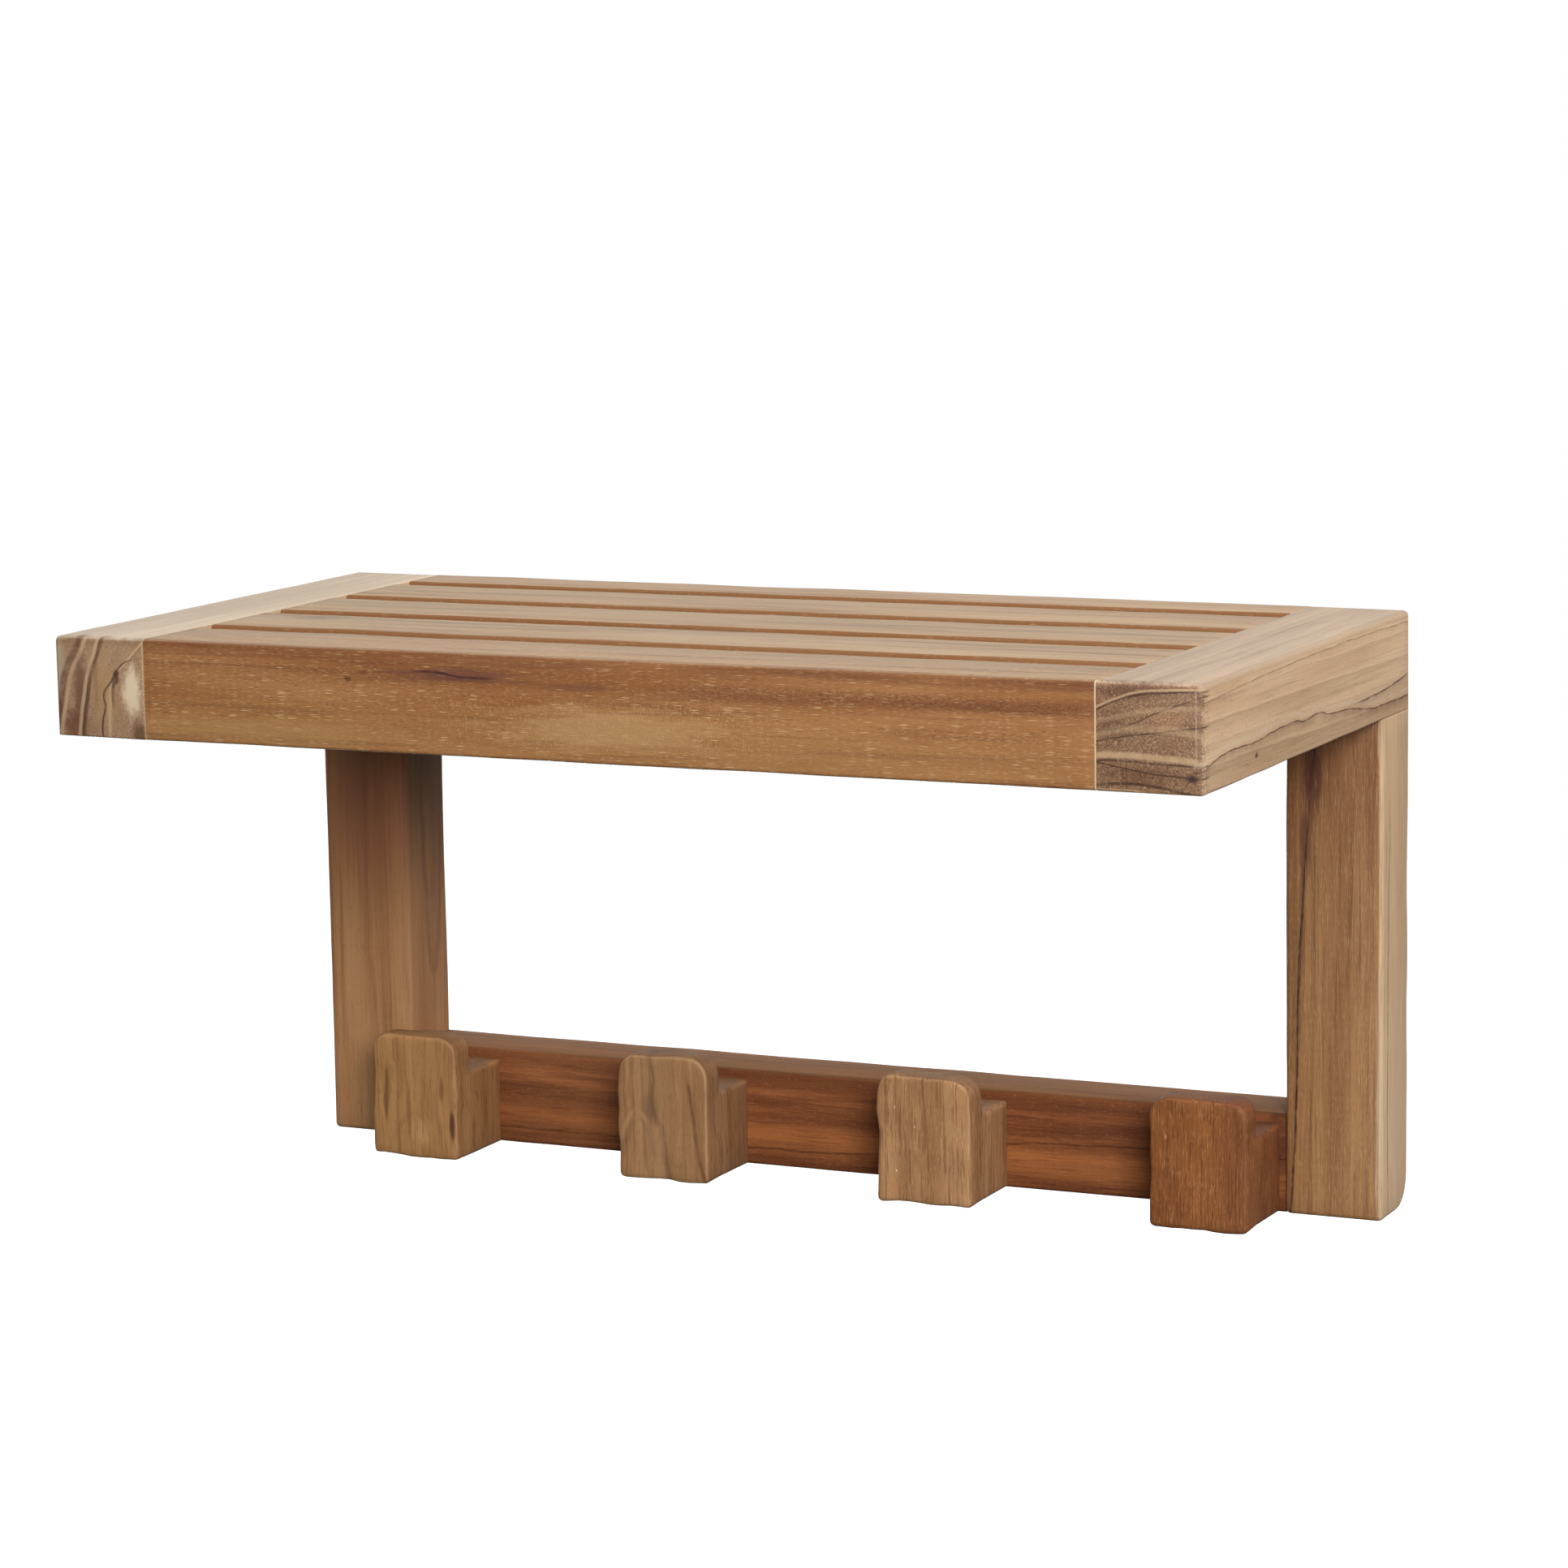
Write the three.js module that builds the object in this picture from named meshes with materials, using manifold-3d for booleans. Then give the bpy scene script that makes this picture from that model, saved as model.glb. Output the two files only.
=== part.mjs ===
// A slatted teak wall shelf with four fixed hooks.
// Millimetres. +X is to the right, -Y is towards the room, +Z is up.
// The origin is the centre of the back rail's rear face, which lies on the wall.

import * as THREE from 'three';
import { RoundedBoxGeometry } from 'three/addons/geometries/RoundedBoxGeometry.js';
import { mergeVertices } from 'three/addons/utils/BufferGeometryUtils.js';
import Module from 'manifold-3d';

const wasm = await Module();
wasm.setup();

// Whole shelf
const shelfWidth = 508;
const shelfDepth = 254;
const shelfHeight = 256;

// Shelf frame
const railHeight = 42;
const sideRailWidth = 43;
const frontRailDepth = 42;
const backRailDepth = 28;

// Slats
const slatCount = 3;
const slatDepth = 44;
const slatThickness = 20;
const tenonLength = 10;
const tenonDepth = 32;
const tenonThickness = 10;

// Uprights and hook rail
const uprightDepth = 36;
const hookRailHeight = 43;
const hookRailDepth = 34.5;

// Hooks
const hookCount = 4;
const hookPitch = 125;
const hookRowCentre = -1;
const hookWidth = 43.5;
const hookReach = 42;
const hookHeight = 56;
const hookBaseHeight = 39;
const hookLipThickness = 15;
const hookCornerRadius = 9;

// Dowels
const dowelRadius = 4;
const dowelLength = 30;
const dowelSpacing = 18;
const uprightDowelInset = 14;
const uprightDowelFront = 26;
const uprightDowelBack = 10;

// Screws that hold each hook to the hook rail from behind
const hookScrewRadius = 2;
const hookScrewLength = 50;
const hookScrewHeadRadius = 4.25;
const hookScrewHeadHeight = 3;
const hookScrewHeights = [12, 28];
const counterboreRadius = 5;
const counterboreDepth = 8;

// Keyhole hanger plates, let in flush behind the uprights
const plateWidth = 20;
const plateHeight = 50;
const plateThickness = 2;
const plateCornerRadius = 4;
const plateCentreHeight = -75;
const keyholeRadius = 5;
const keyholeSlotRadius = 2.5;
const keyholeSlotLength = 12;
const keyholeCentreHeight = -5;
const pocketWidth = 13;
const pocketHeight = 28;
const pocketDepth = 10;
const pocketCornerRadius = 6;
const pocketCentreHeight = 1;
const plateScrewSpacing = 40;
const plateScrewRadius = 1.75;
const plateScrewHeadRadius = 3.5;
const plateScrewHeadHeight = 1.75;
const plateScrewLength = 16;
const plateScrewSink = 0.125;

// Fits and edges
const clearance = 0.3;
const endClearance = 0.5;
const railArris = 2;
const slatArris = 1.5;
const hookArris = 1.5;
const overlap = 1;

// Facets on a full turn
const shaftSides = 12;
const holeSides = 16;

// Places worked out from the sizes above
const halfWidth = shelfWidth / 2;
const innerHalfWidth = halfWidth - sideRailWidth;
const railTop = railHeight / 2;
const railBottom = -railHeight / 2;
const shelfBottom = railTop - shelfHeight;
const sideRailCentre = halfWidth - sideRailWidth / 2;
const slatSpace = shelfDepth - frontRailDepth - backRailDepth;
const slatGap = (slatSpace - slatCount * slatDepth) / (slatCount + 1);
const hookRailCentreHeight = shelfBottom + hookRailHeight / 2;
const uprightCentreHeight = (railBottom + shelfBottom) / 2;
const keyholeHeight = plateCentreHeight + keyholeCentreHeight;

const sides = [
  { name: 'left', sign: -1 },
  { name: 'right', sign: 1 },
];

// Materials
function finish(color, roughness, metalness) {
  return { color, roughness, metalness };
}

const lightTeak = finish(0xbb966d, 0.62, 0);
const goldenTeak = finish(0x986a41, 0.6, 0);
const slatTeak = finish(0xbd9871, 0.62, 0);
const uprightTeak = finish(0x8f6640, 0.6, 0);
const redTeak = finish(0x6e4029, 0.58, 0);
const hookTeaks = [
  finish(0x966e48, 0.6, 0),
  finish(0x967350, 0.6, 0),
  finish(0xa07a55, 0.6, 0),
  finish(0x825032, 0.6, 0),
];
const dowelBeech = finish(0xd2b48c, 0.7, 0);
const stainlessSteel = finish(0xb4b6b8, 0.35, 1);

const group = new THREE.Group();

function addPart(name, geometry, look) {
  const mesh = new THREE.Mesh(geometry, new THREE.MeshStandardMaterial(look));
  mesh.name = name;
  group.add(mesh);
}

// Solids that can be joined and cut
function toSolid(geometry) {
  const bare = geometry.clone();
  bare.deleteAttribute('normal');
  bare.deleteAttribute('uv');
  const merged = mergeVertices(bare, 1e-4);
  const vertProperties = new Float32Array(merged.attributes.position.array);
  const triVerts = new Uint32Array(merged.index.array);
  return new wasm.Manifold(new wasm.Mesh({ numProp: 3, vertProperties, triVerts }));
}

function toGeometry(solid) {
  const result = solid.getMesh();
  const geometry = new THREE.BufferGeometry();
  geometry.setAttribute('position', new THREE.BufferAttribute(result.vertProperties, 3));
  geometry.setIndex(new THREE.BufferAttribute(result.triVerts, 1));
  return geometry;
}

function cutAll(geometry, cutters) {
  let solid = toSolid(geometry);
  for (const cutter of cutters) {
    solid = solid.subtract(toSolid(cutter));
  }
  return toGeometry(solid);
}

// A block with softened edges, given by its size and its centre
function block(size, centre, arris) {
  const geometry = new RoundedBoxGeometry(size[0], size[1], size[2], 1, arris);
  return geometry.translate(centre[0], centre[1], centre[2]);
}

// A square-edged cutter or tenon
function squareBlock(size, centre) {
  const geometry = new THREE.BoxGeometry(size[0], size[1], size[2]);
  return geometry.translate(centre[0], centre[1], centre[2]);
}

// A round cutter along an axis named 'x', 'y' or 'z'
function roundCutter(axis, radius, length, centre) {
  const geometry = new THREE.CylinderGeometry(radius, radius, length, holeSides);
  if (axis === 'x') {
    geometry.rotateZ(Math.PI / 2);
  }
  if (axis === 'z') {
    geometry.rotateX(Math.PI / 2);
  }
  return geometry.translate(centre[0], centre[1], centre[2]);
}

// Dowels
const dowelHoleRadius = dowelRadius + clearance;
const dowelHoleLength = dowelLength + 2 * endClearance;

function dowel(axis, centre) {
  const half = dowelLength / 2;
  const chamfer = 1;
  const outline = [
    new THREE.Vector2(0, -half),
    new THREE.Vector2(dowelRadius - chamfer, -half),
    new THREE.Vector2(dowelRadius, chamfer - half),
    new THREE.Vector2(dowelRadius, half - chamfer),
    new THREE.Vector2(dowelRadius - chamfer, half),
    new THREE.Vector2(0, half),
  ];
  const geometry = new THREE.LatheGeometry(outline, shaftSides);
  if (axis === 'x') {
    geometry.rotateZ(Math.PI / 2);
  }
  if (axis === 'z') {
    geometry.rotateX(Math.PI / 2);
  }
  return geometry.translate(centre[0], centre[1], centre[2]);
}

const jointGroups = [
  {
    name: 'front_rail_dowel',
    axis: 'x',
    places: (sign) => [dowelSpacing / 2, -dowelSpacing / 2].map((height) => [
      sign * innerHalfWidth,
      frontRailDepth / 2 - shelfDepth,
      height,
    ]),
  },
  {
    name: 'back_rail_dowel',
    axis: 'x',
    places: (sign) => [dowelSpacing / 2, -dowelSpacing / 2].map((height) => [
      sign * innerHalfWidth,
      -backRailDepth / 2,
      height,
    ]),
  },
  {
    name: 'upright_dowel',
    axis: 'z',
    places: (sign) => [uprightDowelFront, uprightDowelBack].map((depth) => [
      sign * (halfWidth - uprightDowelInset),
      -depth,
      railBottom,
    ]),
  },
  {
    name: 'hook_rail_dowel',
    axis: 'x',
    places: (sign) => [dowelSpacing / 2, -dowelSpacing / 2].map((height) => [
      sign * innerHalfWidth,
      -hookRailDepth / 2,
      hookRailCentreHeight + height,
    ]),
  },
];

function dowelHoles(names, signs) {
  const cutters = [];
  for (const joint of jointGroups) {
    if (names.includes(joint.name)) {
      for (const sign of signs) {
        for (const place of joint.places(sign)) {
          cutters.push(roundCutter(joint.axis, dowelHoleRadius, dowelHoleLength, place));
        }
      }
    }
  }
  return cutters;
}

function addDowels() {
  for (const joint of jointGroups) {
    const places = sides.flatMap((side) => joint.places(side.sign));
    places.forEach((place, index) => {
      addPart(`${joint.name}_${index + 1}`, dowel(joint.axis, place), dowelBeech);
    });
  }
}

// Slats: each has a stub tenon at both ends
function slatCentre(index) {
  const front = frontRailDepth - shelfDepth + slatGap;
  return front + slatDepth / 2 + index * (slatDepth + slatGap);
}

const slatCentreHeight = railTop - slatThickness / 2;

function slat(index) {
  const centreY = slatCentre(index);
  const size = [2 * innerHalfWidth, slatDepth, slatThickness];
  let solid = toSolid(block(size, [0, centreY, slatCentreHeight], slatArris));
  for (const side of sides) {
    const reach = tenonLength + overlap + slatArris;
    const centreX = side.sign * (innerHalfWidth + tenonLength - reach / 2);
    const centre = [centreX, centreY, slatCentreHeight];
    solid = solid.add(toSolid(squareBlock([reach, tenonDepth, tenonThickness], centre)));
  }
  return toGeometry(solid);
}

function mortises(sign) {
  const cutters = [];
  const length = tenonLength + endClearance + overlap;
  const size = [length, tenonDepth + 2 * clearance, tenonThickness + 2 * clearance];
  const centreX = sign * (innerHalfWidth - overlap + length / 2);
  for (let index = 0; index < slatCount; index += 1) {
    cutters.push(squareBlock(size, [centreX, slatCentre(index), slatCentreHeight]));
  }
  return cutters;
}

// Shelf frame
function sideRail(side) {
  const size = [sideRailWidth, shelfDepth, railHeight];
  const body = block(size, [side.sign * sideRailCentre, -shelfDepth / 2, 0], railArris);
  const joints = ['front_rail_dowel', 'back_rail_dowel', 'upright_dowel'];
  return cutAll(body, [...dowelHoles(joints, [side.sign]), ...mortises(side.sign)]);
}

function crossRail(depth, centreY, jointName) {
  const size = [2 * innerHalfWidth, depth, railHeight];
  const body = block(size, [0, centreY, 0], railArris);
  return cutAll(body, dowelHoles([jointName], [-1, 1]));
}

// Hanger plates, made face up in the XY plane and stood up behind the upright
function roundedRectangle(width, height, radius) {
  const x = width / 2;
  const y = height / 2;
  const shape = new THREE.Shape();
  shape.moveTo(-x + radius, -y);
  shape.lineTo(x - radius, -y);
  shape.absarc(x - radius, -y + radius, radius, -Math.PI / 2, 0, false);
  shape.lineTo(x, y - radius);
  shape.absarc(x - radius, y - radius, radius, 0, Math.PI / 2, false);
  shape.lineTo(-x + radius, y);
  shape.absarc(-x + radius, y - radius, radius, Math.PI / 2, Math.PI, false);
  shape.lineTo(-x, -y + radius);
  shape.absarc(-x + radius, -y + radius, radius, Math.PI, 1.5 * Math.PI, false);
  return shape;
}

function keyholePath() {
  const half = Math.asin(keyholeSlotRadius / keyholeRadius);
  const path = new THREE.Path();
  const slotTop = keyholeCentreHeight + keyholeSlotLength;
  path.absarc(0, keyholeCentreHeight, keyholeRadius, Math.PI / 2 - half, Math.PI / 2 + half, true);
  path.lineTo(-keyholeSlotRadius, slotTop);
  path.absarc(0, slotTop, keyholeSlotRadius, Math.PI, 0, true);
  path.closePath();
  return path;
}

// Stands an extrusion up so that it runs from the wall plane, less a sink, into the upright
function standBehind(geometry, sign, sink) {
  geometry.rotateX(Math.PI / 2);
  return geometry.translate(sign * sideRailCentre, -sink, plateCentreHeight);
}

function plateScrewHeights() {
  return [plateScrewSpacing / 2, -plateScrewSpacing / 2].map((offset) => plateCentreHeight + offset);
}

function countersink(sign, height) {
  const wide = plateScrewHeadRadius + 0.5;
  const narrow = plateScrewRadius + 0.5;
  const slope = (wide - narrow) / plateThickness;
  const length = plateThickness + 2 * overlap;
  const top = wide + slope * overlap;
  const bottom = narrow - slope * overlap;
  const cone = new THREE.CylinderGeometry(top, bottom, length, holeSides);
  return cone.translate(sign * sideRailCentre, -plateThickness / 2, height);
}

function hangerPlate(side) {
  const shape = roundedRectangle(plateWidth, plateHeight, plateCornerRadius);
  shape.holes.push(keyholePath());
  const options = { depth: plateThickness, bevelEnabled: false, curveSegments: 6 };
  const body = standBehind(new THREE.ExtrudeGeometry(shape, options), side.sign, 0);
  return cutAll(body, plateScrewHeights().map((height) => countersink(side.sign, height)));
}

function plateRecess(sign) {
  const grow = 2 * clearance;
  const shape = roundedRectangle(plateWidth + grow, plateHeight + grow, plateCornerRadius + clearance);
  const options = { depth: plateThickness + overlap, bevelEnabled: false, curveSegments: 4 };
  return standBehind(new THREE.ExtrudeGeometry(shape, options), sign, -overlap);
}

function platePocket(sign) {
  const shape = roundedRectangle(pocketWidth, pocketHeight, pocketCornerRadius);
  const options = { depth: pocketDepth + overlap, bevelEnabled: false, curveSegments: 4 };
  const pocket = standBehind(new THREE.ExtrudeGeometry(shape, options), sign, plateThickness - overlap);
  return pocket.translate(0, 0, pocketCentreHeight);
}

function platePilotHoles(sign) {
  const length = plateScrewLength + endClearance + overlap;
  const radius = plateScrewRadius + clearance;
  return plateScrewHeights().map((height) => roundCutter('y', radius, length, [
    sign * sideRailCentre,
    overlap - length / 2,
    height,
  ]));
}

// Uprights and hook rail
function upright(side) {
  const size = [sideRailWidth, uprightDepth, railBottom - shelfBottom];
  const centre = [side.sign * sideRailCentre, -uprightDepth / 2, uprightCentreHeight];
  return cutAll(block(size, centre, railArris), [
    ...dowelHoles(['upright_dowel', 'hook_rail_dowel'], [side.sign]),
    plateRecess(side.sign),
    platePocket(side.sign),
    ...platePilotHoles(side.sign),
  ]);
}

function hookCentre(index) {
  return hookRowCentre + (index - (hookCount - 1) / 2) * hookPitch;
}

// Shank holes through the hook rail and into the hook, with a counterbore behind
function hookScrewHoles(index) {
  const cutters = [];
  const end = counterboreDepth + hookScrewLength + endClearance;
  for (const height of hookScrewHeights) {
    const centreX = hookCentre(index);
    const centreZ = shelfBottom + height;
    const shank = [centreX, -end / 2, centreZ];
    cutters.push(roundCutter('y', hookScrewRadius + clearance, end, shank));
    const mouth = counterboreDepth + overlap;
    const bore = [centreX, overlap - mouth / 2, centreZ];
    cutters.push(roundCutter('y', counterboreRadius, mouth, bore));
  }
  return cutters;
}

function hookRail() {
  const size = [2 * innerHalfWidth, hookRailDepth, hookRailHeight];
  const body = block(size, [0, -hookRailDepth / 2, hookRailCentreHeight], railArris);
  const cutters = dowelHoles(['hook_rail_dowel'], [-1, 1]);
  for (let index = 0; index < hookCount; index += 1) {
    cutters.push(...hookScrewHoles(index));
  }
  return cutAll(body, cutters);
}

// Hooks: the side outline, an L with its lip in front, crossed with the round-shouldered front
function hookSideOutline() {
  const shape = new THREE.Shape();
  shape.moveTo(0, 0);
  shape.lineTo(0, hookBaseHeight);
  shape.lineTo(-(hookReach - hookLipThickness), hookBaseHeight);
  shape.lineTo(-(hookReach - hookLipThickness), hookHeight);
  shape.lineTo(-hookReach, hookHeight);
  shape.lineTo(-hookReach, 0);
  shape.closePath();
  return shape;
}

function hookFrontOutline() {
  const x = hookWidth / 2 - hookArris;
  const bottom = hookArris;
  const top = hookHeight - hookArris;
  const radius = hookCornerRadius - hookArris;
  const shape = new THREE.Shape();
  shape.moveTo(-x, bottom);
  shape.lineTo(x, bottom);
  shape.lineTo(x, top - radius);
  shape.absarc(x - radius, top - radius, radius, 0, Math.PI / 2, false);
  shape.lineTo(-x + radius, top);
  shape.absarc(-x + radius, top - radius, radius, Math.PI / 2, Math.PI, false);
  shape.closePath();
  return shape;
}

function hook(index) {
  const sideOptions = { depth: hookWidth + 2 * overlap, bevelEnabled: false };
  const profile = new THREE.ExtrudeGeometry(hookSideOutline(), sideOptions);
  profile.rotateX(Math.PI / 2);
  profile.rotateZ(Math.PI / 2);
  profile.translate(-hookWidth / 2 - overlap, 0, 0);
  const frontOptions = {
    depth: hookReach + overlap,
    bevelEnabled: true,
    bevelThickness: hookArris,
    bevelSize: hookArris,
    bevelSegments: 2,
    curveSegments: 5,
  };
  const front = new THREE.ExtrudeGeometry(hookFrontOutline(), frontOptions);
  front.rotateX(Math.PI / 2);
  front.translate(0, overlap + hookArris, 0);
  let solid = toSolid(profile).intersect(toSolid(front));
  solid = toSolid(toGeometry(solid).translate(hookCentre(index), -hookRailDepth, shelfBottom));
  for (const cutter of hookScrewHoles(index)) {
    solid = solid.subtract(toSolid(cutter));
  }
  return toGeometry(solid);
}

// Screws, turned about Y with the head towards the wall
function turnedScrew(points, centre) {
  const outline = points.map((point) => new THREE.Vector2(point[0], point[1]));
  const geometry = new THREE.LatheGeometry(outline, shaftSides);
  return geometry.translate(centre[0], centre[1], centre[2]);
}

function hookScrew(index, height) {
  const head = hookScrewHeadHeight;
  const taper = 5;
  return turnedScrew([
    [0, -hookScrewLength],
    [hookScrewRadius, taper - hookScrewLength],
    [hookScrewRadius, 0],
    [hookScrewHeadRadius, 0],
    [hookScrewHeadRadius, head / 2],
    [hookScrewHeadRadius / 2, head],
    [0, head],
  ], [hookCentre(index), -counterboreDepth, shelfBottom + height]);
}

function plateScrew(side, height) {
  const taper = 4;
  return turnedScrew([
    [0, -plateScrewLength],
    [plateScrewRadius, taper - plateScrewLength],
    [plateScrewRadius, -plateScrewHeadHeight],
    [plateScrewHeadRadius, 0],
    [0, 0],
  ], [side.sign * sideRailCentre, -plateScrewSink, height]);
}

// The shelf, piece by piece
for (const side of sides) {
  addPart(`${side.name}_side_rail`, sideRail(side), lightTeak);
}
addPart(
  'front_rail',
  crossRail(frontRailDepth, frontRailDepth / 2 - shelfDepth, 'front_rail_dowel'),
  goldenTeak,
);
addPart('back_rail', crossRail(backRailDepth, -backRailDepth / 2, 'back_rail_dowel'), slatTeak);
for (let index = 0; index < slatCount; index += 1) {
  addPart(`slat_${index + 1}`, slat(index), slatTeak);
}
for (const side of sides) {
  addPart(`${side.name}_upright`, upright(side), uprightTeak);
}
addPart('hook_rail', hookRail(), redTeak);
for (let index = 0; index < hookCount; index += 1) {
  addPart(`hook_${index + 1}`, hook(index), hookTeaks[index]);
}
addDowels();
for (let index = 0; index < hookCount; index += 1) {
  hookScrewHeights.forEach((height, row) => {
    const number = index * hookScrewHeights.length + row + 1;
    addPart(`hook_screw_${number}`, hookScrew(index, height), stainlessSteel);
  });
}
for (const side of sides) {
  addPart(`${side.name}_hanger_plate`, hangerPlate(side), stainlessSteel);
  plateScrewHeights().forEach((height, row) => {
    const place = row === 0 ? 'upper' : 'lower';
    addPart(`${side.name}_hanger_screw_${place}`, plateScrew(side, height), stainlessSteel);
  });
}

export default group;
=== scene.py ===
"""The looks of a slatted teak wall shelf with four hooks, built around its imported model."""

import math

import bmesh
import bpy
from mathutils import Matrix, Vector


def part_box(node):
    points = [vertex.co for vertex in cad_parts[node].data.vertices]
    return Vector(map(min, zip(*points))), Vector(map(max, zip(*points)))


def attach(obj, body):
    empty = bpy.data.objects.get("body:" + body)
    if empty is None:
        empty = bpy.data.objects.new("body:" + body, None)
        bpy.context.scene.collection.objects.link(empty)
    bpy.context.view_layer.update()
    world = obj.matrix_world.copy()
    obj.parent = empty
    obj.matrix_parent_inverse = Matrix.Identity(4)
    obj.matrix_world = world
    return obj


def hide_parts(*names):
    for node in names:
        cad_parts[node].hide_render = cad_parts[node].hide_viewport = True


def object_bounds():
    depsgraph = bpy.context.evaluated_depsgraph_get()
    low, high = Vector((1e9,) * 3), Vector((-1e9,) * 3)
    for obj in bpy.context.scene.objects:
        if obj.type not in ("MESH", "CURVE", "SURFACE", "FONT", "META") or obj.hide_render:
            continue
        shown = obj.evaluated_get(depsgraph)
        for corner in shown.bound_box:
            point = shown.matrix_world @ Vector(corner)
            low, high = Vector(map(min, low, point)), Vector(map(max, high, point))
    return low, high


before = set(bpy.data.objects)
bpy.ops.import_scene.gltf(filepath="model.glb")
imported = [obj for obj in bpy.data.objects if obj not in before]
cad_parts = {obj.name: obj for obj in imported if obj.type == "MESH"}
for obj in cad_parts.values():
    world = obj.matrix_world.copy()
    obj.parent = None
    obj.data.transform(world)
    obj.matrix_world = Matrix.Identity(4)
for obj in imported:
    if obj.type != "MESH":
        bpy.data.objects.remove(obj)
cad_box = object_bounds()

MM = 0.001
UP = Vector((0, 0, 1))

# Edge widths, in millimetres
SOFT_EDGE = 2.4
RAIL_EDGE = SOFT_EDGE * 0.6
UNDER_EDGE = 1.0
CRISP_EDGE = 0.6
SLAT_EDGE = 1.0
HOOK_EDGE = 2.1
HOOK_SHOULDER = 9.0
HEEL_EDGE = 14.0

# An edge steeper than the first angle is rounded, and one steeper than the second is shaded sharp
SHARP_ANGLE = math.radians(30)
SMOOTH_ANGLE = math.radians(35)

# The hand-sanded unevenness of the faces, and the steps between the cuts that let them bend, in millimetres
SANDING_DEPTH = 0.55
SANDING_LENGTH = 34.0
CARVING_DEPTH = 2.6
CARVING_LENGTH = 17.0
BOARD_STEP = 9.0
HOOK_STEP = 5.0

# What is let into the wood, in millimetres
CLEARANCE = 0.3
OVERSHOOT = 1.0
TENON_SHOULDER = 6.0
TENON_CHEEK = 5.0
POCKET_DEPTH = 10.0
POCKET_HALF_WIDTH = 6.5
POCKET_BELOW = 13.0
POCKET_ABOVE = 15.0
BORE_DEPTH = 3.0
BORE_ROOM = 0.75
BORE_SIDES = 48

# The hooks, in millimetres
SEAT_HEIGHT = 39.0
LIP_THICKNESS = 15.0
FLAT_BACK = 1.0
HOOK_SCREW_RADIUS = 2.0


# ---------------------------------------------------------------- small tools


def millimetres(node):
    """The lowest and highest corner of a node, in millimetres."""
    low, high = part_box(node)
    return low / MM, high / MM


def fresh():
    """Leaves nothing selected."""
    bpy.ops.object.select_all(action="DESELECT")


def take(piece):
    """Makes a piece the only one selected, and the active one."""
    fresh()
    piece.select_set(True)
    bpy.context.view_layer.objects.active = piece
    return piece


def settle(piece, name):
    """Puts a piece's place into its mesh, so that its object is at the origin, and names it."""
    take(piece)
    bpy.ops.object.transform_apply(location=True, rotation=True, scale=True)
    piece.name = name
    piece.data.name = name
    return piece


def apply_modifier(piece, kind, **settings):
    """Adds a modifier, sets it and applies it."""
    take(piece)
    modifier = piece.modifiers.new(kind.lower(), kind)
    for key, value in settings.items():
        setattr(modifier, key, value)
    bpy.ops.object.modifier_apply(modifier=modifier.name)
    return piece


class Editing:
    """A piece open in edit mode with nothing selected."""

    def __init__(self, piece, mode):
        self.piece = take(piece)
        self.mode = mode

    def __enter__(self):
        bpy.ops.object.mode_set(mode="EDIT")
        bpy.ops.mesh.select_mode(type=self.mode)
        bpy.ops.mesh.select_all(action="DESELECT")
        return self

    def __exit__(self, *problem):
        bpy.ops.object.mode_set(mode="OBJECT")

    def choose(self, test):
        """Selects the edges or faces whose test holds, and nothing else."""
        bpy.ops.mesh.select_all(action="DESELECT")
        shape = bmesh.from_edit_mesh(self.piece.data)
        for element in shape.edges if self.mode == "EDGE" else shape.faces:
            if test(element):
                element.select_set(True)
        bmesh.update_edit_mesh(self.piece.data)


def block(name, low, high):
    """A plain block between two corners in millimetres: the start of most pieces."""
    fresh()
    centre = (Vector(low) + Vector(high)) / 2
    size = Vector(high) - Vector(low)
    bpy.ops.mesh.primitive_cube_add(size=1, location=centre * MM, scale=size * MM)
    return settle(bpy.context.active_object, name)


def rod(name, start, end, radius, sides=32, tip=None):
    """A round bar, or a cone to the tip's radius, between two points in millimetres."""
    fresh()
    line = Vector(end) - Vector(start)
    bpy.ops.mesh.primitive_cone_add(
        vertices=sides,
        radius1=radius * MM,
        radius2=(radius if tip is None else tip) * MM,
        depth=line.length * MM,
        location=(Vector(start) + Vector(end)) / 2 * MM,
        rotation=UP.rotation_difference(line).to_euler(),
    )
    return settle(bpy.context.active_object, name)


def edge_middle(edge):
    """The middle of an edge, in millimetres."""
    return (edge.verts[0].co + edge.verts[1].co) / 2 / MM


def runs_deep(edge):
    """Whether an edge runs from front to back."""
    return abs(edge.verts[0].co.y - edge.verts[1].co.y) > MM


def near(first, second):
    """Whether two places, in millimetres, are the same but for the last digits."""
    return abs(first - second) < 0.1


def round_edges(piece, width_at, segments=3):
    """Rounds every sharp edge by the width in millimetres that width_at gives for its middle."""
    with Editing(piece, "EDGE") as editing:
        shape = bmesh.from_edit_mesh(piece.data)
        layer = shape.edges.layers.float.new("bevel_weight_edge")
        widest = 0.0
        widths = {}
        for edge in shape.edges:
            if len(edge.link_faces) == 2 and edge.calc_face_angle() > SHARP_ANGLE:
                widths[edge.index] = width_at(edge_middle(edge), edge)
                widest = max(widest, widths[edge.index])
        for edge in shape.edges:
            edge[layer] = widths.get(edge.index, 0.0) / widest
        bmesh.update_edit_mesh(editing.piece.data)
    return apply_modifier(
        piece,
        "BEVEL",
        limit_method="WEIGHT",
        width=widest * MM,
        segments=segments,
        use_clamp_overlap=True,
        miter_outer="MITER_ARC",
    )


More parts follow.
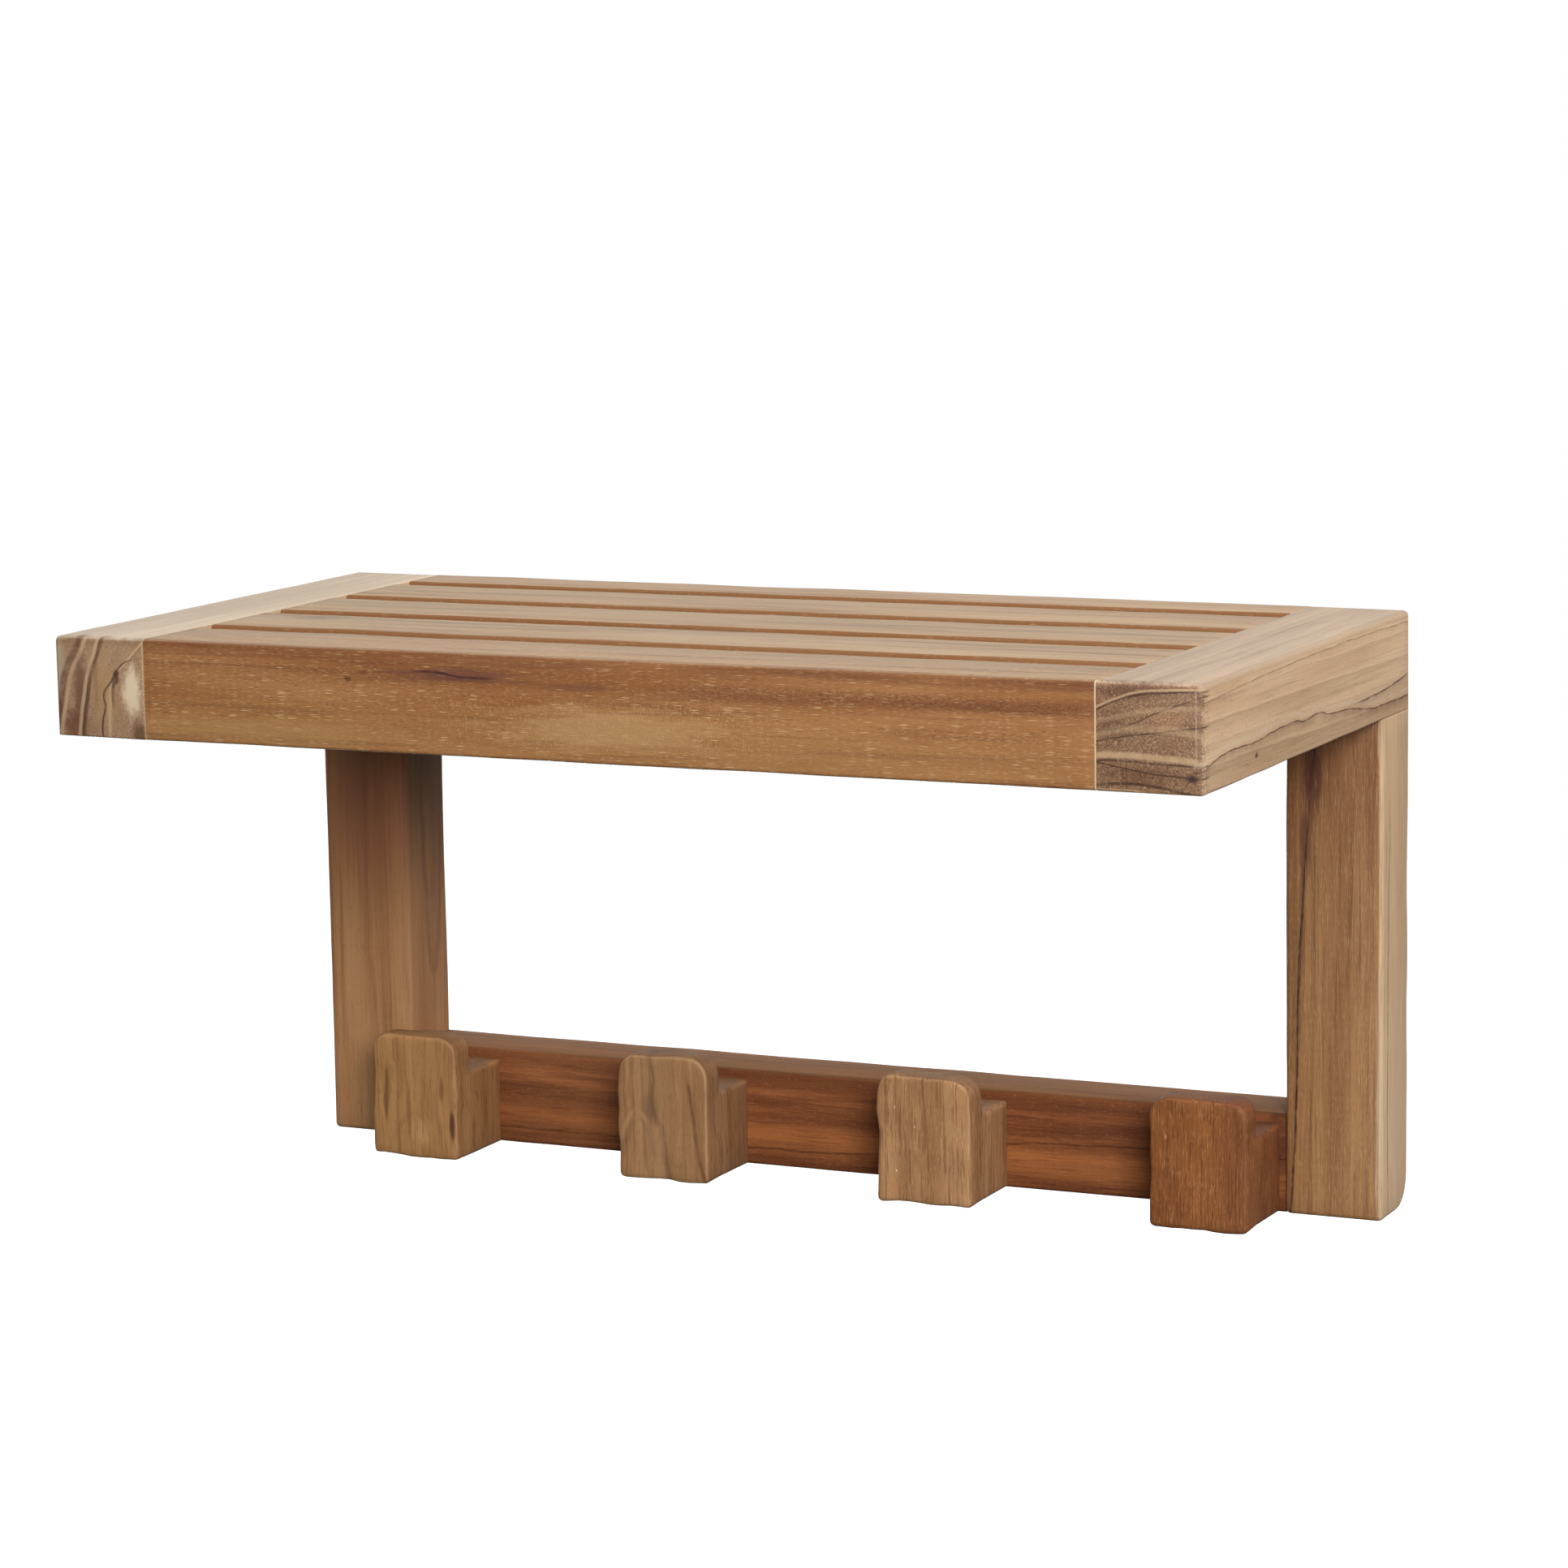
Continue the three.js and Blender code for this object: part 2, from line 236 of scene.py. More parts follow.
def slice_along(piece, axis, step):
    """Cuts a piece across an axis every so many millimetres, so that it can be uneven."""
    values = [vertex.co[axis] / MM for vertex in piece.data.vertices]
    low, high = min(values), max(values)
    count = max(1, round((high - low) / step))
    direction = Vector((0, 0, 0))
    direction[axis] = 1
    with Editing(piece, "FACE"):
        for number in range(1, count):
            bpy.ops.mesh.select_all(action="SELECT")
            point = direction * ((low + (high - low) * number / count) * MM)
            bpy.ops.mesh.bisect(plane_co=point, plane_no=direction)


def sand(piece, depth=SANDING_DEPTH, length=SANDING_LENGTH, moves=None):
    """Makes the faces slightly uneven, as hand sanding leaves them, wherever the corners may move."""
    unevenness = bpy.data.textures.new("sanding", "CLOUDS")
    unevenness.noise_scale = length * MM
    unevenness.noise_depth = 1
    free = piece.vertex_groups.new(name="free")
    corners = [vertex.index for vertex in piece.data.vertices if not moves or moves(vertex.co / MM)]
    free.add(corners, 1.0, "REPLACE")
    apply_modifier(
        piece,
        "DISPLACE",
        texture=unevenness,
        texture_coords="GLOBAL",
        vertex_group="free",
        strength=depth * MM,
        mid_level=0.5,
    )


def cut(piece, cutters):
    """Takes the cutters away from a piece, and away from the scene."""
    for cutter in cutters:
        apply_modifier(piece, "BOOLEAN", operation="DIFFERENCE", solver="EXACT", object=cutter)
        bpy.data.objects.remove(cutter)


def present(piece, node, material):
    """Gives a finished piece its shading, material, body and slot, and hides the node it stands for."""
    take(piece)
    bpy.ops.object.shade_smooth_by_angle(angle=SMOOTH_ANGLE)
    piece.data.materials.clear()
    piece.data.materials.append(material)
    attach(piece, "root")
    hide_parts(node)


# ---------------------------------------------------------------- shader tools


class Reading:
    """One output of a node, so that sums on it read as sums."""

    def __init__(self, nodes, socket):
        self.nodes = nodes
        self.socket = socket

    def out(self, name):
        """Another output of the same node."""
        return Reading(self.nodes, self.socket.node.outputs[name])

    def __add__(self, other):
        return self.nodes.sum("ADD", self, other)

    def __radd__(self, other):
        return self.nodes.sum("ADD", other, self)

    def __sub__(self, other):
        return self.nodes.sum("SUBTRACT", self, other)

    def __rsub__(self, other):
        return self.nodes.sum("SUBTRACT", other, self)

    def __mul__(self, other):
        return self.nodes.sum("MULTIPLY", self, other)

    def __rmul__(self, other):
        return self.nodes.sum("MULTIPLY", other, self)

    def __truediv__(self, other):
        return self.nodes.sum("DIVIDE", self, other)

    def __pow__(self, other):
        return self.nodes.sum("POWER", self, other)

    def __abs__(self):
        return self.nodes.sum("ABSOLUTE", self)


class Nodes:
    """A node tree that grows as it is written."""

    def __init__(self, tree):
        self.tree = tree
        self.tree.nodes.clear()

    def node(self, kind, settings, inputs, output=0):
        """A node of a type, with its settings and then its sockets' values or links."""
        made = self.tree.nodes.new(kind)
        for key, value in settings.items():
            setattr(made, key, value)
        for key, value in inputs.items():
            if isinstance(value, Reading):
                self.tree.links.new(value.socket, made.inputs[key])
            else:
                made.inputs[key].default_value = value
        return Reading(self, made.outputs[output]) if len(made.outputs) else made

    def sum(self, operation, first, second=0.0):
        """One step of arithmetic."""
        return self.node("ShaderNodeMath", {"operation": operation}, {0: first, 1: second})

    def rise(self, value, start, end):
        """0 before start, 1 after end, and smooth between them."""
        kind = {"interpolation_type": "SMOOTHSTEP"}
        return self.node("ShaderNodeMapRange", kind, {0: value, 1: start, 2: end, 3: 0.0, 4: 1.0})

    def between(self, value, low, high, soft):
        """1 between two values, 0 outside them, with soft ends."""
        return self.rise(value, low - soft, low + soft) * (1 - self.rise(value, high - soft, high + soft))

    def split(self, vector):
        """The three parts of a vector."""
        parts = self.node("ShaderNodeSeparateXYZ", {}, {0: vector})
        return parts, parts.out("Y"), parts.out("Z")

    def vector(self, x, y, z):
        """Three numbers as one vector."""
        return self.node("ShaderNodeCombineXYZ", {}, {0: x, 1: y, 2: z})

    def stretched(self, vector, size, shift):
        """A vector measured in lumps of a size along each axis, and shifted by a seed."""
        scale = tuple(1 / length for length in size)
        return self.node("ShaderNodeMapping", {}, {"Vector": vector, "Location": shift, "Scale": scale})

    def noise(self, vector, detail=2.0, roughness=0.5):
        """Noise from 0 to 1 in lumps one unit across."""
        inputs = {"Vector": vector, "Scale": 1.0, "Detail": detail, "Roughness": roughness}
        return self.node("ShaderNodeTexNoise", {}, inputs)

    def mix(self, factor, first, second, blend="MIX"):
        """One colour laid over another."""
        settings = {"data_type": "RGBA", "blend_type": blend}
        return self.node("ShaderNodeMix", settings, {0: factor, 6: first, 7: second}, 2)

    def path(self, value, points):
        """The height at a value of a smooth line through points of value and height."""
        starts = [point[0] for point in points]
        heights = [point[1] for point in points]
        start, reach = min(starts), max(starts) - min(starts)
        floor, rise = min(heights), max(max(heights) - min(heights), 0.001)
        along = (value - start) / reach
        drawn = self.node("ShaderNodeFloatCurve", {}, {"Factor": 1.0, "Value": along})
        mapping = drawn.socket.node.mapping
        curve = mapping.curves[0]
        while len(curve.points) < len(points):
            curve.points.new(0.5, 0.5)
        for place, point in zip(curve.points, sorted(points)):
            place.location = ((point[0] - start) / reach, (point[1] - floor) / rise)
        mapping.update()
        return drawn * rise + floor


class Finish(Nodes):
    """A material and the nodes that make it."""

    def __init__(self, name):
        self.material = bpy.data.materials.new(name)
        self.material.use_nodes = True
        super().__init__(self.material.node_tree)

    def join(self, colour, roughness, normal, metallic=0.0, specular=0.5, glow=0.0):
        """Joins the surface to the material's output."""
        inputs = {
            "Base Color": colour,
            "Roughness": roughness,
            "Metallic": metallic,
            "Specular IOR Level": specular,
            "Emission Strength": glow,
        }
        if normal:
            inputs["Normal"] = normal
        surface = self.node("ShaderNodeBsdfPrincipled", {}, inputs)
        self.node("ShaderNodeOutputMaterial", {}, {"Surface": surface})
        return self.material


def paint(red, green, blue):
    """A linear colour from the 0 to 255 values that a screen shows."""
    linear = []
    for value in (red, green, blue):
        share = value / 255
        linear.append(share / 12.92 if share <= 0.04045 else ((share + 0.055) / 1.055) ** 2.4)
    return (*linear, 1.0)


# ---------------------------------------------------------------- teak


class Board:
    """How one board was cut and coloured. Lengths are millimetres."""

    def __init__(self, grain, pith, ring, pale, mid, dark, seed, **more):
        self.grain = grain
        self.pith = pith
        self.ring = ring
        self.pale = paint(*pale)
        self.mid = paint(*mid)
        self.dark = paint(*dark)
        self.seed = seed * 7.31
        self.lean = more.get("lean", (0.0, 0.0))
        self.wander = more.get("wander", 5.0)
        self.late = more.get("late", 0.5)
        self.early = more.get("early", 0.3)
        self.streaks = more.get("streaks", 0.5)
        self.flecks = more.get("flecks", 0.4)
        self.fleck_share = more.get("fleck_share", 0.5)
        self.fleck_paint = paint(*more.get("fleck_paint", (232, 196, 146)))
        self.pores = more.get("pores", 0.4)
        self.specular = more.get("specular", 0.5)
        self.end_paint = paint(*more.get("end_paint", (118, 88, 62)))
        self.end_stain = more.get("end_stain", 0.45)
        # The wash on upper faces: partly dust and dry wood, partly painted sheen from the light
        self.top_dust_and_sheen_paint = paint(*more.get("top_dust_and_sheen_paint", (206, 180, 150)))
        self.top_dust_and_sheen = more.get("top_dust_and_sheen", 0.35)
        self.top_streaks = more.get("top_streaks", 0.0)
        self.side = more.get("side")
        self.marks = more.get("marks", [])


class Wood(Finish):
    """Solid teak: growth rings round a pith, fibres, pores and pale flecks, cut by the board."""

    def __init__(self, name, node, board):
        super().__init__(name)
        self.board = board
        self.colour = board.mid
        low, high = millimetres(node)
        centre = (low + high) / 2
        place = self.node("ShaderNodeTexCoord", {}, {}, "Object")
        self.x, self.y, self.z = [part / MM for part in self.split(place)]
        self.facing = dict(zip("xyz", self.split(place.out("Normal"))))
        sides = dict(zip("xyz", (self.x - centre.x, self.y - centre.y, self.z - centre.z)))
        along, left, up = {"x": "xyz", "y": "yxz", "z": "zxy"}[board.grain]
        self.along, self.left, self.up = sides[along], sides[left], sides[up]
        self.local = self.vector(self.along, self.left, self.up)
        self.end = self.rise(abs(self.facing[along]), 0.55, 0.9)
        self.top = self.rise(self.facing["z"], 0.5, 0.9)

    def lumps(self, length, width, shift, detail=2.0, roughness=0.5):
        """Noise in lumps of a length along the grain and a width across it."""
        seed = self.board.seed
        offset = (seed + shift, 0.61 * seed - shift, 1.7 * shift)
        return self.noise(self.stretched(self.local, (length, width, width), offset), detail, roughness)

    def dashes(self, length, width, shift, share):
        """Short strokes along the grain, each with its own strength, on a share of the places."""
        offset = (shift, self.board.seed, 0.7 * shift)
        grid = self.stretched(self.local, (length, width, width), offset)
        cell = self.node("ShaderNodeTexVoronoi", {}, {"Vector": grid, "Scale": 1.0})
        lot = self.node("ShaderNodeSeparateColor", {}, {0: cell.out("Color")})
        stroke = 1 - self.rise(cell, 0.15, 0.38)
        chosen = self.rise(lot + share, 0.97, 1.0)
        return stroke * chosen * (0.35 + lot.out("Green") * 0.65)

    def lay(self, factor, colour, blend="MIX"):
        """Lays a colour over what is there."""
        self.colour = self.mix(factor, self.colour, colour, blend)

    def inside(self, window):
        """1 inside limits along some of the axes, each a low end, a high end and a softness."""
        mask = 1.0
        for axis, (low, high, soft) in window.items():
            mask = self.between(getattr(self, axis), low, high, soft) * mask
        return mask


def teak(name, node, board):
    """The finish of one teak board.

    Lumps and dashes are as long and as wide as their first two numbers say, in millimetres.
    """
    wood = Wood(name, node, board)

    # Growth rings
    wander = wood.lumps(260.0, 38.0, 1.3) - 0.5
    ripple = wood.lumps(50.0, 8.0, 2.9) - 0.5
    across = wood.left - board.pith[0] + wood.along * board.lean[0]
    above = wood.up - board.pith[1] + wood.along * board.lean[1]
    radius = (across * across + above * above) ** 0.5
    count = (radius + wander * (2 * board.wander) + ripple * 1.8) / board.ring
    number = wood.sum("FLOOR", count)
    share = count - number
    lot = wood.node("ShaderNodeTexWhiteNoise", {"noise_dimensions": "1D"}, {"W": number + board.seed})
    late = (share ** 2.5) * (1 - wood.rise(share, 0.94, 1.0)) * (lot * 0.75 + 0.25)
    early = (1 - wood.rise(share, 0.02, 0.2)) * (1 - lot * 0.6)

    # Broad tone, streaks, rings and fibres
    tone = wood.lumps(170.0, 15.0, 4.1, 3.0)
    wood.lay(wood.rise(tone, 0.35, 0.68), board.pale)
    streak = wood.lumps(110.0, 2.6, 5.7, 4.0, 0.62)
    wood.lay(wood.rise(streak, 0.5, 0.74) * board.streaks, board.dark)
    wood.lay(wood.rise(0.5 - streak, 0.02, 0.24) * (board.streaks * 0.7), board.pale)
    wood.lay(late * board.late, board.dark)
    wood.lay(early * board.early, board.pale)
    fibre = wood.lumps(16.0, 0.5, 7.2, 3.0, 0.65)
    wood.lay(wood.rise(fibre, 0.5, 0.8) * 0.34, board.dark)
    wood.lay(wood.rise(0.5 - fibre, 0.0, 0.25) * 0.26, board.pale)

    # End grain: darker, and dotted with the open ends of the pores
    wood.lay(wood.end * board.end_stain, board.end_paint)
    dots = wood.lumps(0.9, 0.55, 21.0, 2.0, 0.7)
    wood.lay(wood.end * wood.rise(dots, 0.52, 0.66) * 0.45, board.dark)
    wood.lay(wood.end * wood.rise(0.5 - dots, 0.03, 0.16) * 0.40, board.pale)

    # Upper faces paler: partly dust and dry sanded wood, partly painted sheen where they catch the light
    wood.lay(wood.top * board.top_dust_and_sheen, board.top_dust_and_sheen_paint)
    if board.top_streaks:
        bands = wood.lumps(150.0, 9.0, 13.3, 4.0, 0.65)
        wood.lay(wood.top * wood.rise(bands, 0.5, 0.68) * board.top_streaks, board.dark)
        wood.lay(wood.top * wood.rise(0.5 - bands, 0.02, 0.16) * board.top_streaks, board.pale)
        lines = wood.lumps(120.0, 2.0, 16.9, 4.0, 0.65)
        wood.lay(wood.top * wood.rise(lines, 0.5, 0.72) * (board.top_streaks * 0.8), board.dark)
        wood.lay(wood.top * wood.rise(0.5 - lines, 0.02, 0.2) * (board.top_streaks * 0.6), board.pale)
    # A darker wash on the faces towards one side: painted shade, in the gaps between the slats and on the
    # hooks' right sides; on the slats partly their unsanded wood too
    if board.side:
        axis, sign, colour, strength = board.side
        facing = wood.rise(wood.facing[axis] * sign, 0.1, 0.5)
        wood.lay(facing * strength * (0.7 + tone * 0.5), paint(*colour))

    # Pores: fine dark dashes, and pale dashes where they are filled
    spread = wood.rise(wood.lumps(60.0, 5.0, 8.8, 3.0, 0.6), 0.35, 0.68)
    rows = wood.rise(wood.lumps(90.0, 1.1, 9.7), 0.48, 0.62)
    side = 1 - wood.end
    dark_dash = wood.dashes(4.5, 0.5, 3.3, 0.5 + spread * 0.2)
    small_dash = wood.dashes(3.6, 0.32, 6.1, board.fleck_share * (0.4 + spread * 0.45))
    long_dash = wood.dashes(7.5, 0.42, 5.2, board.fleck_share * (spread * 0.25 + rows * 0.4))
    wood.lay(dark_dash * board.pores, board.dark)
    wood.lay(small_dash * side * board.flecks * 0.7, board.fleck_paint)
    wood.lay(long_dash * side * board.flecks, board.fleck_paint)

    for mark in board.marks:
        mark(wood)

    # Pores and fibres stand in low relief
    height = fibre * 0.5 - late * 0.4 - dark_dash * 0.5 + small_dash * 0.3
    bump = wood.node("ShaderNodeBump", {}, {"Strength": 0.4, "Distance": 0.0003, "Height": height})
    roughness = 0.5 + fibre * 0.14 - late * 0.05
    return wood.join(wood.colour, roughness, bump, specular=board.specular)


# ---------------------------------------------------------------- marks on single boards


def blotch(colour, strength, centre, radii, ragged=0.6):
    """A soft stain or a paler cloud inside the wood, as long along each axis as its radii."""

    def mark(wood):
        tear = (wood.lumps(22.0, 3.0, 11.0 + 0.1 * centre[2], 4.0, 0.6) - 0.5) * (3 * ragged)
        parts = [
            (axis - middle) / reach
            for axis, middle, reach in zip((wood.x, wood.y, wood.z), centre, radii)
        ]
        reach = (parts[0] * parts[0] + parts[1] * parts[1] + parts[2] * parts[2]) ** 0.5 + tear
        wood.lay((1 - wood.rise(reach, 0.3, 1.0)) * strength, paint(*colour))

    return mark


def trace(colour, strength, run, rise, points, width, window, jag=0.6, side=0.0):
    """A line through points of run and rise, as broad as its width, with a jagged course.

    A positive side lets the colour fade off upwards over that distance, a negative one downwards.
    """

    def mark(wood):
        bends = wood.stretched(wood.local, (14, 14, 14), (points[0][0], 2, 1))
        sway = (wood.noise(bends, 3.0) - 0.5) * (4 * jag)
        gap = getattr(wood, rise) - wood.path(getattr(wood, run), points) + sway
        line = 1 - wood.rise(abs(gap), 0.3 * width, width)
        if side:
            away = gap if side > 0 else 0 - gap
            line = line + wood.rise(away, -0.1, 0.1) * (1 - wood.rise(away, 0.0, abs(side))) * 0.45
        breaks = 0.55 + wood.rise(wood.lumps(7.0, 7.0, 15.0, 2.0), 0.3, 0.6) * 0.45
        wood.lay(line * breaks * strength * wood.inside(window), paint(*colour))

    return mark


def flame(colour, strength, run, tip, spread, width, window):
    """The arched line where a ring leaves a face: its tip, and its half width 10 mm from the tip.

    A positive spread opens the arch upwards, a negative one downwards.
    """

    def mark(wood):
        middle, height = tip
        depth = (wood.z - height) * (1 if spread > 0 else -1)
        reach = wood.sum("MAXIMUM", depth, 0.0) ** 0.5 * (abs(spread) / 10 ** 0.5)
        sway = (wood.lumps(30.0, 12.0, 18.0) - 0.5) * 5
        gap = abs(abs(getattr(wood, run) - middle + sway) - reach)
        line = (1 - wood.rise(gap, 0.2 * width, width)) * wood.rise(depth, -width, width)
        wood.lay(line * strength * wood.inside(window), paint(*colour))

    return mark


def tint(colour, strength, window, ragged=0.0):
    """A wash of colour inside a window."""

    def mark(wood):
        mask = wood.inside(window)
        if ragged:
            mask = mask * wood.rise(wood.lumps(60.0, 3.0, 24.0, 3.0, 0.6), 0.5 - ragged, 0.5 + ragged)
        wood.lay(mask * strength, paint(*colour))

    return mark


def stipple(colour, strength, window, length, width, share=0.5):
    """Crowded small specks inside a window, each as long and as wide as given."""

    def mark(wood):
        specks = wood.lumps(length, width, 27.0 + length, 2.0, 0.7)
        grain = wood.rise(specks, 1 - share, 1.12 - share)
        wood.lay(grain * strength * wood.inside(window), paint(*colour))

    return mark


def painted_arris_highlight(colour, strength):
    """A painted highlight: a paler line where the front face rolls over into the edges round it."""

    def mark(wood):
        roll = wood.between(0 - wood.facing["y"], 0.5, 0.88, 0.08)
        wood.lay(roll * strength, paint(*colour))

    return mark


def end_stripes(colour, strength, run, rise, lines, window, jag=0.25):
    """Several ring lines on an end: each a width and the points that it passes."""

    def mark(wood):
        for width, points in lines:
            trace(colour, strength, run, rise, points, width, window, jag)(wood)

    return mark


# Windows that several marks share. The deep ones reach round the edges of the face.
DEEP_FRONT = {"y": (-256, -248, 2.0)}
RIGHT_SIDE = {"x": (250, 256, 1.0)}
UPRIGHT_FRONT = {"y": (-38, -30, 1.0)}
UPRIGHT_FACE = {"y": (-38, -34, 1.0)}
UPRIGHT_SIDE = {"x": (251, 256, 0.8)}
INNER_FACE = {"x": (-213, -209, 0.8)}
LOW_RAIL_FACE = {"y": (-37, -32, 1.0)}
WHOLE_HOOK = {"y": (-79, -30, 1.0)}
DEEP_HOOK = {"y": (-79, -30, 2.0)}
HOOK_FACE = {"y": (-79, -66, 1.0)}


def front_window(**more):
    """A window on the front of the shelf."""
    return {"y": (-256, -251, 0.6), **more}


FRONT_RAIL_MARKS = [
    blotch((196, 152, 104), 0.6, (4, -254, -7), (62, 9, 12), 0.5),
    blotch((188, 142, 90), 0.14, (110, -254, -12), (120, 9, 9), 0.5),
    blotch((182, 138, 86), 0.4, (-150, -254, -14), (80, 9, 7), 0.5),
    tint((188, 142, 88), 0.16, front_window(z=(-22, -1, 5.0))),
    tint((112, 58, 20), 0.2, front_window(z=(5, 22, 5.0))),
    tint((108, 58, 30), 0.6, front_window(z=(15.5, 22, 1.8)), 0.25),
    tint((196, 148, 88), 0.35, front_window(x=(110, 215, 25), z=(12.5, 16, 1.5)), 0.2),
    tint((112, 60, 34), 0.45, front_window(x=(50, 215, 30), z=(7.5, 12.5, 2.5)), 0.2),
    stipple((92, 48, 28), 0.55, front_window(x=(30, 213, 20), z=(7, 13, 2.0)), 1.4, 0.6, 0.52),
    stipple((216, 174, 122), 0.5, front_window(x=(-75, 70, 25), z=(-17, 5, 4.0)), 0.6, 1.8, 0.44),
    stipple((200, 154, 100), 0.3, front_window(x=(40, 211, 25), z=(-19, 3, 4.0)), 0.6, 1.8, 0.44),
    stipple((206, 162, 110), 0.3, front_window(x=(-211, -60, 25), z=(-19, 16, 4.0)), 2.4, 0.35, 0.44),
    blotch((108, 62, 50), 0.75, (-63, -254, 12), (42, 7, 3.4), 0.6),
    trace((70, 36, 30), 0.8, "x", "z", [(-86, 12.4), (-74, 13.2), (-60, 11.6), (-44, 11.0)], 0.7,
          front_window(x=(-84, -47, 8)), 0.6, -3.0),
    blotch((116, 70, 46), 0.6, (-12, -254, 9.5), (26, 7, 2.2), 0.6),
    blotch((84, 44, 22), 0.75, (-113.5, -254, 8.3), (1.9, 5, 1.3), 0.9),
    blotch((104, 58, 32), 0.7, (-106.2, -254, 11.3), (3.0, 4, 1.2), 0.8),
    blotch((104, 58, 32), 0.6, (-99.4, -254, 11.9), (2.4, 4, 1.0), 0.8),
    tint((230, 204, 164), 0.75, front_window(x=(210.55, 213, 0.2))),
    tint((230, 204, 164), 0.75, front_window(x=(-213, -210.4, 0.25))),
]

LEFT_END_PALE = [
    (1.5, [(-21, -252.6), (-14, -250.6), (-3, -248.1), (5, -246.4), (15, -240.9), (21, -238.4)]),
    (1.3, [(-21, -243.0), (-5, -240.3), (7, -237.5), (14, -234.6), (21, -232.4)]),
    (0.8, [(-13, -227.6), (-9, -227.4), (0, -226.6), (6, -224.0)]),
]
LEFT_END_DARK = [
    (2.6, [(-21, -256.0), (-15, -253.6), (-5, -251.0), (5, -249.2), (15, -244.2), (21, -241.4)]),
    (1.6, [(-21, -241.2), (-5, -238.6), (7, -235.7), (14, -232.8), (21, -230.6)]),
]

LEFT_RAIL_MARKS = [
    blotch((110, 74, 50), 0.75, (-241.5, -254, -2), (5, 9, 24), 0.3),
    blotch((112, 64, 46), 0.75, (-245, -254, -16), (8, 9, 9), 0.4),
    blotch((180, 142, 100), 0.6, (-230, -254, 0), (9, 9, 22), 0.4),
    blotch((196, 160, 116), 0.5, (-227.5, -254, -8), (2.0, 9, 14), 0.5),
    blotch((136, 100, 68), 0.45, (-234.0, -254, 4), (1.6, 9, 16), 0.5),
    stipple((104, 76, 52), 0.35, DEEP_FRONT, 0.9, 0.7, 0.45),
    blotch((226, 204, 172), 0.9, (-216.5, -254, -1), (6, 9, 14), 0.35),
    blotch((184, 162, 132), 0.8, (-253, -254, 10), (6, 9, 20), 0.3),
    blotch((96, 68, 42), 0.8, (-213, -254, -20), (5, 9, 10), 0.3),
    tint((120, 86, 60), 0.5, front_window(z=(17.5, 22, 1.4)), 0.3),
    end_stripes((90, 58, 38), 0.75, "z", "x", LEFT_END_DARK, DEEP_FRONT, 0.3),
    end_stripes((204, 170, 134), 0.72, "z", "x", LEFT_END_PALE, DEEP_FRONT, 0.3),
    trace((78, 48, 32), 0.85, "z", "x",
          [(-21, -231.2), (-13, -231.0), (-7.7, -230.2), (-4, -230.6), (2.7, -226.2), (9.6, -221.4),
           (12.6, -213.6)], 0.75, front_window(z=(-22, 13, 0.8)), 0.75),
    blotch((74, 42, 28), 0.9, (-224.0, -254, 5.4), (2.0, 4, 4.6), 0.4),
    trace((84, 54, 36), 0.8, "z", "x", [(-6, -225.6), (4, -225.2), (8, -222.0)], 1.2,
          front_window(z=(-8, 7, 2)), 0.4),
    blotch((188, 168, 140), 0.35, (-232, -120, 21), (20, 110, 8), 0.6),
]

RIGHT_END_DARK = [
    (0.6, [(211, 10.0), (219, 13.8), (228, 16.2), (236, 17.4), (254, 18.4)]),
    (0.45, [(211, 2.0), (218, 3.0), (228, 6.2), (235, 9.6), (240, 11.5)]),
    (0.5, [(211, -2.0), (217, -0.6), (223, 0.4)]),
    (0.6, [(211, -10.0), (219, -9.0), (232, -9.4), (254, -10.0)]),
    (0.5, [(228, -12.6), (236, -13.6), (246, -14.2)]),
    (0.9, [(211, -19.0), (223, -17.6), (233, -18.2), (244, -19.8), (254, -21.6)]),
]
RIGHT_END_PALE = [
    (0.7, [(211, 11.2), (219, 14.6), (228, 17.4), (236, 18.4), (254, 19.0)]),
    (1.7, [(211, -7.9), (221, -6.8), (236, -7.2), (254, -8.4)]),
    (0.5, [(211, -20.6), (218, -20.0), (230, -20.6)]),
]
# The lower pale band is here too, which makes it the strongest
RIGHT_END_FAINT = [
    (2.2, [(211, 0.0), (220, 2.8), (232, 3.8), (240, 3.4)]),
    (1.7, [(211, -7.9), (221, -6.8), (236, -7.2), (254, -8.4)]),
    (1.4, [(211, 6.0), (222, 8.4), (236, 11.0), (248, 11.6)]),
]

# The course of the dark vein along the right side, front to back
VEIN = [(-254, -12), (-240, -9.4), (-228, -8), (-193, -8), (-171, -7), (-149, -6.5), (-135, -8),
        (-122, -7), (-108, -9), (-76, -11), (-38, -14.5), (0, -14.7)]

